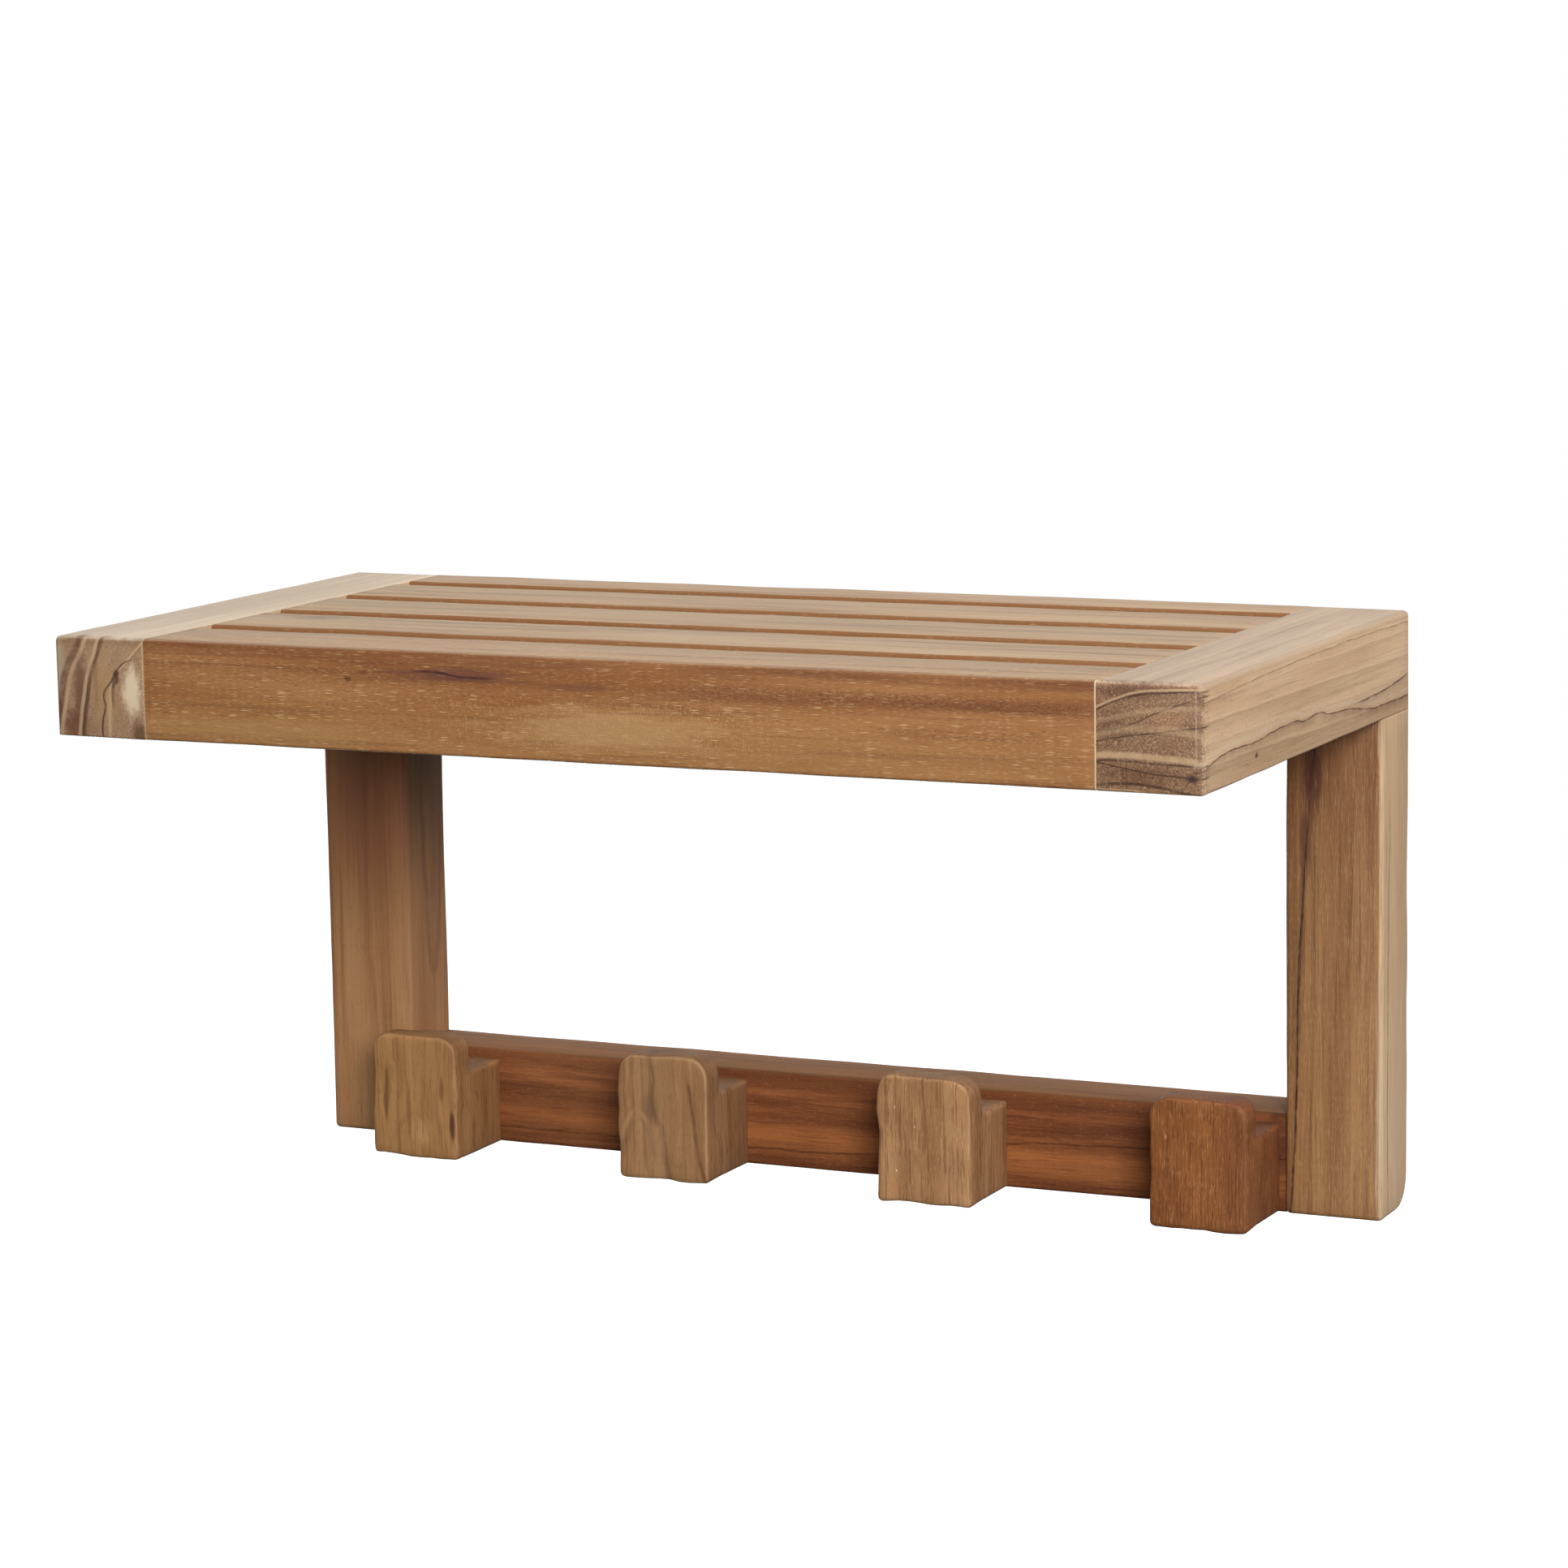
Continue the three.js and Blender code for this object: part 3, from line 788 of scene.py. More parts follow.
RIGHT_RAIL_MARKS = [
    blotch((104, 66, 50), 0.6, (228, -254, 18), (22, 9, 5), 0.5),
    blotch((176, 132, 96), 0.55, (240, -254, 7), (10, 9, 5), 0.5),
    blotch((112, 72, 48), 0.5, (218, -254, 4), (9, 9, 6), 0.5),
    blotch((106, 68, 46), 0.55, (230, -254, -14), (22, 9, 5), 0.5),
    stipple((70, 40, 26), 0.55, DEEP_FRONT, 0.9, 0.7, 0.5),
    stipple((220, 178, 138), 0.5, DEEP_FRONT, 1.0, 0.8, 0.42),
    end_stripes((66, 40, 26), 0.8, "x", "z", RIGHT_END_DARK, DEEP_FRONT, 0.2),
    end_stripes((214, 178, 136), 0.6, "x", "z", RIGHT_END_PALE, DEEP_FRONT, 0.15),
    end_stripes((206, 172, 134), 0.32, "x", "z", RIGHT_END_FAINT, DEEP_FRONT, 0.3),
    trace((72, 44, 32), 0.5, "z", "x", [(-20, 223.6), (-9, 223.2)], 0.35,
          front_window(z=(-20, -9, 0.6)), 0.2),
    blotch((64, 40, 40), 0.95, (249.5, -254, -14.6), (3.6, 4, 2.2), 0.35),
    tint((84, 50, 30), 0.8, {"x": (252.0, 255, 0.4), "y": (-256, -252.2, 0.5), "z": (-22, 19, 1.0)}, 0.4),
    tint((214, 174, 136), 0.35, {"x": (250.9, 251.6, 0.3), "y": (-256, -253.4, 0.3), "z": (-7, 18, 1.0)}),
    trace((92, 62, 42), 0.8, "y", "z", VEIN, 0.42, RIGHT_SIDE, 0.45, -5.0),
    trace((216, 190, 160), 0.5, "y", "z", [(point, height + 2.6) for point, height in VEIN], 1.6,
          RIGHT_SIDE, 0.5),
    trace((120, 90, 66), 0.45, "y", "z", [(-254, 14), (-180, 16.2), (-90, 17.4), (0, 16.4)], 0.5,
          RIGHT_SIDE, 0.4, -4.0),
    trace((84, 66, 54), 0.75, "y", "z", [(-76, -9.5), (-38, -8.6), (0, -4.6)], 0.5,
          {**RIGHT_SIDE, "y": (-70, 2, 12)}, 0.3, -3.0),
    blotch((78, 48, 34), 0.9, (254, -194, -13.6), (4, 2.6, 1.7), 0.5),
    blotch((126, 92, 68), 0.5, (254, -206, -15.5), (4, 4.5, 1.0), 0.8),
    # Painted shade: tones down the rounded top outer edge where it faces the light
    tint((168, 142, 116), 0.5, {"x": (251.4, 256, 0.8), "z": (18.4, 22, 0.8)}),
]

RIGHT_UPRIGHT_MARKS = [
    blotch((66, 36, 28), 0.85, (223.5, -36, -44), (6.5, 12, 26), 0.35),
    blotch((84, 48, 34), 0.6, (221.0, -36, -72), (4.5, 12, 26), 0.45),
    trace((58, 30, 24), 0.8, "z", "x",
          [(-235, 213.4), (-201, 215.9), (-131, 217.3), (-96, 219.4), (-54, 222.0), (-21, 226.5)], 0.8,
          UPRIGHT_FRONT, 0.3, -2.5),
    tint((112, 58, 34), 0.35, {**UPRIGHT_FRONT, "z": (-70, -18, 22), "x": (208, 252, 1.0)}),
    # The outer side and its front edge paler: painted light from the right
    tint((212, 182, 146), 0.68, {"x": (252.6, 256, 0.5)}),
    tint((206, 178, 140), 0.25, {"x": (252.4, 256, 0.4), "y": (-38, -33.8, 0.6)}),
    stipple((86, 50, 28), 0.35, UPRIGHT_FRONT, 30.0, 0.7, 0.46),
    stipple((206, 160, 108), 0.35, UPRIGHT_FRONT, 14.0, 0.4, 0.44),
    stipple((140, 110, 80), 0.4, UPRIGHT_SIDE, 36.0, 0.9, 0.46),
    stipple((214, 190, 156), 0.4, UPRIGHT_SIDE, 50.0, 2.0, 0.46),
    tint((218, 196, 166), 0.2, {**UPRIGHT_SIDE, "z": (-236, -150, 30.0)}),
    trace((104, 82, 62), 0.8, "z", "y", [(-235, -27.4), (-160, -28.6), (-90, -27.2), (-21, -26.2)], 0.5,
          {**UPRIGHT_SIDE, "z": (-236, -60, 20)}, 0.35, -1.6),
]

LEFT_UPRIGHT_MARKS = [
    # Painted shade from the shelf: the inner face darker, most of all near the top, and the upper front
    # darker with the redder tone of shaded wood
    tint((146, 106, 76), 0.4, INNER_FACE),
    tint((50, 32, 22), 0.64, {**INNER_FACE, "z": (-96, -10, 42.0)}),
    tint((190, 114, 78), 0.35, {**UPRIGHT_FACE, "z": (-115, -10, 30.0)}),
    tint((110, 62, 42), 0.3, {**UPRIGHT_FACE, "z": (-120, -10, 45.0), "x": (-245, -222, 8.0)}),
    flame((104, 74, 54), 0.35, "y", (-14, -163), 3.0, 3.0, INNER_FACE),
    flame((104, 74, 54), 0.25, "y", (-16, -128), 3.2, 3.0, INNER_FACE),
]

HOOK_RAIL_MARKS = [
    tint((82, 38, 26), 0.6, {**LOW_RAIL_FACE, "z": (-213, -199, 3.0)}, 0.2),
    tint((92, 48, 30), 0.5, {**LOW_RAIL_FACE, "z": (-199, -191, 2.0)}),
    tint((172, 118, 78), 0.16, {**LOW_RAIL_FACE, "x": (-165, -86, 14.0)}),
    # Painted shade in the narrow gap between hook 4 and the right upright
    tint((88, 48, 30), 0.6, {**LOW_RAIL_FACE, "x": (204, 213, 2.0)}),
    tint((186, 114, 62), 0.55, {**LOW_RAIL_FACE, "z": (-226, -217, 2.5)}, 0.25),
    tint((92, 42, 28), 0.55, {**LOW_RAIL_FACE, "z": (-236, -229, 1.5)}, 0.25),
    stipple((204, 140, 92), 0.4, LOW_RAIL_FACE, 2.2, 0.45, 0.40),
    stipple((84, 40, 26), 0.35, LOW_RAIL_FACE, 20.0, 0.7, 0.46),
    trace((58, 26, 18), 0.5, "x", "z", [(-211, -227), (0, -226.5), (100, -214), (211, -211.5)], 0.8,
          LOW_RAIL_FACE, 0.6),
]


def hook_place(number, right, down):
    """A point on the front of a hook, from its upper left corner."""
    low, high = millimetres(f"hook_{number}")
    return low.x + right, low.y, high.z - down


def hook_side(number, pale, dark):
    """Long soft streaks on the right side of a hook."""
    edge = millimetres(f"hook_{number}")[1].x
    window = {"x": (edge - 1.6, edge + 2, 0.8)}
    return [stipple(pale, 0.4, window, 24.0, 2.2, 0.46), stipple(dark, 0.4, window, 18.0, 1.5, 0.46)]


HOOK_1_MARKS = hook_side(1, (168, 116, 76), (84, 50, 30)) + [
    painted_arris_highlight((206, 160, 112), 0.3),
    blotch((104, 64, 36), 0.7, hook_place(1, 7.4, 28), (1.8, 16, 17), 0.5),
    blotch((112, 72, 42), 0.5, hook_place(1, 19.4, 36), (1.3, 16, 18), 0.5),
    blotch((108, 68, 40), 0.55, hook_place(1, 36.4, 24), (1.6, 10, 8), 0.5),
    blotch((78, 42, 32), 0.85, hook_place(1, 41.0, 40), (1.7, 8, 8), 0.4),
    blotch((204, 158, 108), 0.5, hook_place(1, 27, 44), (8, 14, 8), 0.5),
    flame((128, 88, 54), 0.2, "x", (-188.5, -214.5), -9.0, 2.6, {**HOOK_FACE, "z": (-226, -210, 3)}),
    stipple((118, 78, 46), 0.4, WHOLE_HOOK, 26.0, 1.0, 0.46),
]
HOOK_2_MARKS = hook_side(2, (166, 120, 84), (80, 52, 34)) + [
    painted_arris_highlight((210, 168, 124), 0.4),
    trace((108, 80, 56), 0.45, "z", "x",
          [(-235, -60.5), (-231, -61.2), (-214, -64.3), (-200, -69.5), (-190, -68.5), (-179, -70.6)], 2.6,
          HOOK_FACE, 0.8, 7.0),
    stipple((198, 152, 104), 0.35, WHOLE_HOOK, 9.0, 0.5, 0.42),
    blotch((112, 84, 62), 0.5, hook_place(2, 16, 26), (4, 14, 12), 0.5),
    flame((186, 146, 106), 0.4, "x", (-76.0, -204.0), -6.5, 1.8,
          {**HOOK_FACE, "x": (-88, -67, 1), "z": (-222, -200, 4)}),
    flame((120, 90, 64), 0.3, "x", (-75.0, -208.0), -6.5, 2.6,
          {**HOOK_FACE, "x": (-88, -67, 1), "z": (-226, -204, 4)}),
    trace((104, 68, 44), 0.55, "z", "x", [(-235, -43.4), (-214, -47.5), (-192, -50.6)], 1.4,
          {"y": (-79, -60, 1.0), "z": (-236, -190, 3)}, 0.5, 4.0),
]
HOOK_3_MARKS = hook_side(3, (178, 132, 92), (92, 60, 38)) + [
    painted_arris_highlight((214, 170, 126), 0.35),
    stipple((226, 186, 140), 0.5, DEEP_HOOK, 8.0, 0.4, 0.42),
    stipple((120, 78, 46), 0.55, DEEP_HOOK, 40.0, 1.3, 0.48),
    blotch((244, 224, 200), 0.95, hook_place(3, 9.0, 42), (0.5, 2, 0.7), 0.1),
    blotch((240, 214, 184), 0.8, hook_place(3, 18.0, 22), (0.4, 2, 0.8), 0.1),
    blotch((240, 214, 184), 0.8, hook_place(3, 8.6, 14), (0.4, 2, 1.0), 0.1),
]
HOOK_4_MARKS = hook_side(4, (150, 94, 58), (72, 40, 24)) + [
    painted_arris_highlight((166, 112, 78), 0.25),
    stipple((200, 142, 92), 0.6, DEEP_HOOK, 9.0, 0.45, 0.44),
    stipple((84, 44, 26), 0.55, DEEP_HOOK, 20.0, 0.8, 0.46),
    # Painted shade on the right of hook 4, beside the right upright
    tint((104, 58, 36), 0.4, {"x": (197, 210, 3.0)}),
    blotch((206, 150, 110), 0.7, hook_place(4, 7.5, 17), (0.6, 3, 1.8), 0.2),
]
SLAT_1_MARKS = [
    blotch((134, 112, 88), 0.55, (-178, -166, 21), (16, 9, 3), 0.7),
    blotch((150, 118, 88), 0.4, (-60, -172, 21), (22, 7, 3), 0.8),
]

# The front faces of the slats and back rail darker: partly unsanded wood, partly painted shade in the gaps
SLAT_SIDE_STAIN_AND_SHADE = ("y", -1, (138, 88, 44), 0.9)
# The slats' upper faces: partly dust and dry wood, partly painted sheen
SLAT_TOP_DUST_AND_SHEEN = (200, 174, 142)

BOARDS = {
    "left_side_rail": Board("y", (109, -53), 7.6, (216, 190, 158), (192, 162, 128), (126, 94, 66), 1.0,
                            wander=3.0, late=0.4, early=0.6, streaks=0.3, flecks=0.1,
                            end_paint=(146, 106, 72), end_stain=0.7, top_dust_and_sheen_paint=(222, 206, 184),
                            top_dust_and_sheen=0.5, marks=LEFT_RAIL_MARKS),
    "right_side_rail": Board("y", (14, -72), 8.6, (220, 186, 150), (196, 160, 124), (122, 88, 62), 2.0,
                             lean=(0.0, 0.01), wander=4.0, late=0.4, early=0.5, streaks=0.32, flecks=0.2,
                             pores=0.25, end_paint=(118, 78, 48), end_stain=0.78,
                             top_dust_and_sheen_paint=(186, 166, 146), top_dust_and_sheen=0.6, top_streaks=0.35,
                             marks=RIGHT_RAIL_MARKS),
    "front_rail": Board("x", (-160, -26), 9.0, (176, 123, 74), (154, 99, 52), (94, 50, 26), 3.0,
                        late=0.3, early=0.1, streaks=0.5, flecks=0.95, fleck_share=1.0, pores=0.5,
                        top_dust_and_sheen_paint=(190, 165, 132), top_dust_and_sheen=0.68, top_streaks=0.35,
                        marks=FRONT_RAIL_MARKS),
    "back_rail": Board("x", (10, -70), 6.0, (196, 160, 120), (180, 142, 104), (126, 90, 58), 4.0,
                       streaks=0.3, late=0.3, side=SLAT_SIDE_STAIN_AND_SHADE, top_streaks=0.5),
    "slat_1": Board("x", (-20, -60), 5.5, (192, 160, 122), (176, 140, 102), (120, 86, 58), 5.0,
                    streaks=0.42, late=0.3, side=SLAT_SIDE_STAIN_AND_SHADE, top_dust_and_sheen_paint=SLAT_TOP_DUST_AND_SHEEN, top_streaks=0.5,
                    marks=SLAT_1_MARKS),
    "slat_2": Board("x", (30, -75), 6.5, (188, 156, 118), (172, 136, 100), (118, 84, 56), 6.0,
                    streaks=0.42, late=0.3, side=SLAT_SIDE_STAIN_AND_SHADE, top_dust_and_sheen_paint=SLAT_TOP_DUST_AND_SHEEN, top_streaks=0.5),
    "slat_3": Board("x", (-5, -50), 6.0, (194, 160, 120), (174, 136, 98), (120, 84, 54), 7.0,
                    streaks=0.42, late=0.3, side=SLAT_SIDE_STAIN_AND_SHADE, top_dust_and_sheen_paint=SLAT_TOP_DUST_AND_SHEEN, top_streaks=0.5),
    "left_upright": Board("z", (-40, 70), 7.0, (192, 142, 94), (168, 118, 75), (112, 68, 41), 8.0,
                          flecks=0.15, late=0.35, marks=LEFT_UPRIGHT_MARKS),
    "right_upright": Board("z", (-70, 40), 7.0, (174, 127, 81), (148, 101, 59), (96, 58, 34), 9.0,
                           flecks=0.4, fleck_share=0.9, late=0.35, marks=RIGHT_UPRIGHT_MARKS),
    "hook_rail": Board("x", (90, -10), 6.0, (168, 104, 60), (134, 78, 46), (84, 42, 26), 10.0,
                       flecks=0.35, fleck_share=0.7, fleck_paint=(214, 150, 104), specular=0.15,
                       top_dust_and_sheen_paint=(142, 98, 52), top_dust_and_sheen=0.8, top_streaks=0.4,
                       marks=HOOK_RAIL_MARKS),
    # Each hook's side wash is painted shade on its right side, shadowed by its neighbours and the shelf
    "hook_1": Board("z", (-40, 60), 9.0, (190, 142, 92), (166, 118, 72), (112, 72, 42), 11.0,
                    flecks=0.12, late=0.4, specular=0.2, end_paint=(118, 82, 50),
                    top_dust_and_sheen=0.0, side=("x", 1, (116, 74, 48), 0.28), marks=HOOK_1_MARKS),
    "hook_2": Board("z", (20, 45), 9.0, (184, 140, 98), (160, 116, 76), (108, 72, 44), 12.0,
                    flecks=0.15, late=0.4, specular=0.2, end_paint=(118, 84, 54),
                    top_dust_and_sheen=0.0, side=("x", 1, (108, 72, 50), 0.3), marks=HOOK_2_MARKS),
    "hook_3": Board("z", (0, 120), 4.4, (194, 146, 102), (164, 118, 76), (114, 76, 46), 13.0,
                    flecks=0.3, late=0.45, wander=1.5, specular=0.2, end_paint=(124, 90, 58),
                    top_dust_and_sheen=0.0, side=("x", 1, (128, 88, 60), 0.2), marks=HOOK_3_MARKS),
    "hook_4": Board("z", (0, 110), 3.8, (158, 99, 54), (130, 76, 38), (82, 44, 22), 14.0,
                    flecks=0.35, late=0.4, wander=1.5, specular=0.2, end_paint=(90, 54, 32),
                    top_dust_and_sheen=0.0, side=("x", 1, (114, 76, 54), 0.3), marks=HOOK_4_MARKS),
}


def teak_for(node):
    """The finish of the board that stands for a node."""
    return teak(f"{node}_teak", node, BOARDS[node])


# ---------------------------------------------------------------- other finishes


def dowel_wood():
    """Plain pale hardwood."""
    finish = Finish("dowel_wood")
    place = finish.node("ShaderNodeTexCoord", {}, {}, "Object")
    broad = finish.noise(finish.stretched(place, (0.012, 0.012, 0.012), (1, 2, 3)), 3.0)
    fine = finish.noise(finish.stretched(place, (0.0009, 0.0009, 0.0009), (4, 5, 6)), 3.0)
    colour = finish.mix(broad, paint(214, 182, 138), paint(188, 152, 108))
    colour = finish.mix(finish.rise(fine, 0.5, 0.8) * 0.4, colour, paint(150, 114, 76))
    bump = finish.node("ShaderNodeBump", {}, {"Strength": 0.3, "Distance": 0.0002, "Height": fine})
    return finish.join(colour, 0.62 + fine * 0.1, bump)


def stainless_steel():
    """Brushed steel with fine scratches."""
    finish = Finish("stainless_steel")
    place = finish.node("ShaderNodeTexCoord", {}, {}, "Object")
    brushed = finish.noise(finish.stretched(place, (0.006, 0.006, 0.00018), (1, 1, 1)), 3.0, 0.6)
    cloud = finish.noise(finish.stretched(place, (0.01, 0.01, 0.01), (2, 5, 1)), 2.0)
    colour = finish.mix(brushed, paint(168, 170, 172), paint(205, 206, 207))
    colour = finish.mix(finish.rise(cloud, 0.55, 0.8) * 0.3, colour, paint(140, 138, 134))
    bump = finish.node("ShaderNodeBump", {}, {"Strength": 0.2, "Distance": 0.0001, "Height": brushed})
    return finish.join(colour, 0.26 + brushed * 0.16, bump, metallic=1.0)


# ---------------------------------------------------------------- holes, worked out from the nodes


def dowel_cutters(prefix, side_sign=0):
    """Round holes for the dowels of one joint, on one side or on both."""
    cutters = []
    for number in range(1, 5):
        low, high = millimetres(f"{prefix}_{number}")
        if side_sign * (low.x + high.x) < 0:
            continue
        size = high - low
        axis = max(range(3), key=lambda which: size[which])
        start = (low + high) / 2
        end = start.copy()
        start[axis] = low[axis] - CLEARANCE
        end[axis] = high[axis] + CLEARANCE
        radius = min(size) / 2 + CLEARANCE
        cutters.append(rod("cutter", start, end, radius))
    return cutters


def screw_hole(node, radius, front, sides=32):
    """A round hole along a screw's line, from a place in its depth out through the back."""
    low, high = millimetres(node)
    x = (low.x + high.x) / 2
    z = (low.z + high.z) / 2
    return rod("cutter", (x, front, z), (x, OVERSHOOT, z), radius, sides)


def shank_cutter(node):
    """A hole for a screw from end to end."""
    low, high = millimetres(node)
    return screw_hole(node, (high.x - low.x) / 4 + CLEARANCE, low.y - OVERSHOOT)


def bore_cutter(node):
    """A counterbore for a screw's head."""
    low, high = millimetres(node)
    return screw_hole(node, (high.x - low.x) / 2 + BORE_ROOM, high.y - BORE_DEPTH, BORE_SIDES)


# ---------------------------------------------------------------- the boards


def stub_tenon(piece, sign, low, high, reach):
    """Insets one end face of a block and draws it out into a tenon between two corners."""
    depth = high.y - low.y
    with Editing(piece, "FACE") as editing:
        editing.choose(lambda face: face.normal.x * sign > 0.9)
        bpy.ops.mesh.inset(thickness=TENON_CHEEK * MM)
        centre = Vector((sign * high.x, (low.y + high.y) / 2, (low.z + high.z) / 2)) * MM
        narrow = (depth - TENON_SHOULDER * 2) / (depth - TENON_CHEEK * 2)
        bpy.ops.transform.resize(value=(1, narrow, 1), center_override=centre)
        bpy.ops.mesh.extrude_region_move(
            TRANSFORM_OT_translate={"value": (sign * reach * MM, 0, 0)}
        )


def side_rail(side, sign):
    """A side rail: soft outside, crisp where the other rails meet it."""
    node = f"{side}_side_rail"
    low, high = millimetres(node)
    inner = high.x if sign < 0 else low.x

    def width_at(point, edge):
        if near(point.x, inner):
            return CRISP_EDGE
        return UNDER_EDGE if near(point.z, low.z) else SOFT_EDGE

    piece = block(f"{node}_wood", low, high)
    round_edges(piece, width_at)
    slice_along(piece, 1, BOARD_STEP)
    sand(piece)
    cutters = []
    for joint in ("front_rail_dowel", "back_rail_dowel", "upright_dowel"):
        cutters += dowel_cutters(joint, sign)
    shoulder = Vector((0, TENON_SHOULDER, TENON_CHEEK))
    spare = Vector((CLEARANCE, CLEARANCE, CLEARANCE))
    for number in range(1, 4):
        slat_low, slat_high = millimetres(f"slat_{number}")
        mortise_low = slat_low + shoulder - spare
        mortise_high = slat_high - shoulder + spare
        if sign > 0:
            mortise_low.x = inner - OVERSHOOT
        else:
            mortise_high.x = inner + OVERSHOOT
        cutters.append(block("cutter", mortise_low, mortise_high))
    cut(piece, cutters)
    present(piece, node, teak_for(node))


def cross_rail(node, joint):
    """A rail between the side rails: crisp ends, soft long edges outside."""
    low, high = millimetres(node)
    inner = high.y if node == "front_rail" else low.y

    def width_at(point, edge):
        if near(point.x, low.x) or near(point.x, high.x):
            return CRISP_EDGE
        return SLAT_EDGE if near(point.y, inner) else RAIL_EDGE

    piece = block(f"{node}_wood", low, high)
    round_edges(piece, width_at)
    slice_along(piece, 0, BOARD_STEP)
    sand(piece)
    cut(piece, dowel_cutters(joint))
    present(piece, node, teak_for(node))


def slat(number):
    """A slat: rounded long edges, and a stub tenon at each end."""
    node = f"slat_{number}"
    low, high = millimetres(node)
    shoulder = millimetres("front_rail")[1].x
    body_low = Vector((-shoulder, low.y, low.z))
    body_high = Vector((shoulder, high.y, high.z))

    def width_at(point, edge):
        if edge.is_convex and abs(point.x) < shoulder - 1:
            return SLAT_EDGE
        return CRISP_EDGE if edge.is_convex else 0.0

    piece = block(f"{node}_wood", body_low, body_high)
    for sign in (-1, 1):
        stub_tenon(piece, sign, body_low, body_high, high.x - shoulder)
    round_edges(piece, width_at)
    slice_along(piece, 0, BOARD_STEP)
    sand(piece)
    present(piece, node, teak_for(node))


def upright(side, sign):
    """An upright: soft edges, a well rounded heel, and a let-in hanger plate behind."""
    node = f"{side}_upright"
    low, high = millimetres(node)

    def width_at(point, edge):
        return CRISP_EDGE if near(point.z, high.z) else SOFT_EDGE

    piece = block(f"{node}_wood", low, high)
    with Editing(piece, "EDGE") as editing:
        editing.choose(
            lambda edge: near(edge_middle(edge).z, low.z) and near(edge_middle(edge).y, high.y)
        )
        bpy.ops.mesh.bevel(offset=HEEL_EDGE * MM, segments=7, affect="EDGES")
    round_edges(piece, width_at)
    slice_along(piece, 2, BOARD_STEP)
    sand(piece)
    cutters = dowel_cutters("upright_dowel", sign) + dowel_cutters("hook_rail_dowel", sign)
    plate_low, plate_high = millimetres(f"{side}_hanger_plate")
    recess = block(
        "cutter",
        plate_low - Vector((CLEARANCE, 0, CLEARANCE)),
        plate_high + Vector((CLEARANCE, OVERSHOOT, CLEARANCE)),
    )
    middle = (plate_low + plate_high) / 2
    pocket = block(
        "cutter",
        (middle.x - POCKET_HALF_WIDTH, plate_low.y - POCKET_DEPTH, middle.z - POCKET_BELOW),
        (middle.x + POCKET_HALF_WIDTH, plate_low.y + OVERSHOOT, middle.z + POCKET_ABOVE),
    )
    cutters += [recess, pocket]
    for place in ("upper", "lower"):
        cutters.append(shank_cutter(f"{side}_hanger_screw_{place}"))
    cut(piece, cutters)
    present(piece, node, teak_for(node))


def hook_rail():
    """The low rail, counterbored from behind for the hooks' screws."""
    node = "hook_rail"
    low, high = millimetres(node)

    def width_at(point, edge):
        at_end = near(point.x, low.x) or near(point.x, high.x)
        return CRISP_EDGE if at_end else SOFT_EDGE

    piece = block(f"{node}_wood", low, high)
    round_edges(piece, width_at)
    slice_along(piece, 0, BOARD_STEP)
    sand(piece)
    cutters = dowel_cutters("hook_rail_dowel")
    for number in range(1, 9):
        cutters += [shank_cutter(f"hook_screw_{number}"), bore_cutter(f"hook_screw_{number}")]
    cut(piece, cutters)
    present(piece, node, teak_for(node))


def hook(number):
    """A hook: a block whose front is drawn up into a lip with round shoulders."""
    node = f"hook_{number}"
    low, high = millimetres(node)
    seat = low.z + SEAT_HEIGHT
    lip_back = low.y + LIP_THICKNESS
    piece = block(f"{node}_wood", low, (high.x, high.y, seat))
    with Editing(piece, "FACE") as editing:
        bpy.ops.mesh.select_all(action="SELECT")
        bpy.ops.mesh.bisect(plane_co=(0, lip_back * MM, 0), plane_no=(0, 1, 0))
        editing.choose(
            lambda face: face.normal.z > 0.9 and face.calc_center_median().y < lip_back * MM
        )
        bpy.ops.mesh.extrude_region_move(
            TRANSFORM_OT_translate={"value": (0, 0, (high.z - seat) * MM)}
        )
    with Editing(piece, "EDGE") as editing:
        editing.choose(lambda edge: near(edge_middle(edge).z, high.z) and runs_deep(edge))
        bpy.ops.mesh.bevel(offset=HOOK_SHOULDER * MM, segments=7, affect="EDGES")

    def width_at(point, edge):
        if near(point.y, high.y):
            return CRISP_EDGE
        inside = near(point.z, seat) and near(point.y, lip_back)
        return CRISP_EDGE if inside else HOOK_EDGE

    round_edges(piece, width_at)
    slice_along(piece, 2, HOOK_STEP)
    slice_along(piece, 0, HOOK_STEP)
    sand(piece, CARVING_DEPTH, CARVING_LENGTH, lambda corner: corner.y < high.y - FLAT_BACK)
    cutters = []
    for screw_number in (2 * number - 1, 2 * number):
        screw_low, screw_high = millimetres(f"hook_screw_{screw_number}")
        x = (screw_low.x + screw_high.x) / 2
        z = (screw_low.z + screw_high.z) / 2
        start = (x, screw_low.y - OVERSHOOT, z)
        cutters.append(rod("cutter", start, (x, high.y + OVERSHOOT, z), HOOK_SCREW_RADIUS + CLEARANCE))
    cut(piece, cutters)
    present(piece, node, teak_for(node))


# ---------------------------------------------------------------- the hardware

PLATE_CORNER = 4.0
PLATE_EDGE = 0.25
KEYHOLE_DROP = 5.0
KEYHOLE_RADIUS = 5.0
SLOT_RADIUS = 2.5
SLOT_LENGTH = 12.0
TIP_RADIUS = 0.3
TIP_LENGTH = 3.0
THREAD_PITCH = 1.5
THREAD_DEPTH = 0.45
THREAD_END = 0.2
HEAD_EDGE = 0.2
HEAD_ROOM = 0.6
SCREW_SIDES = 24


def copy_of(model, name, shift):
    """A copy of a finished model with its own mesh, shifted by so many millimetres."""
    take(model)
    bpy.ops.object.duplicate()
    piece = bpy.context.active_object
    bpy.ops.transform.translate(value=shift * MM)
    return settle(piece, name)


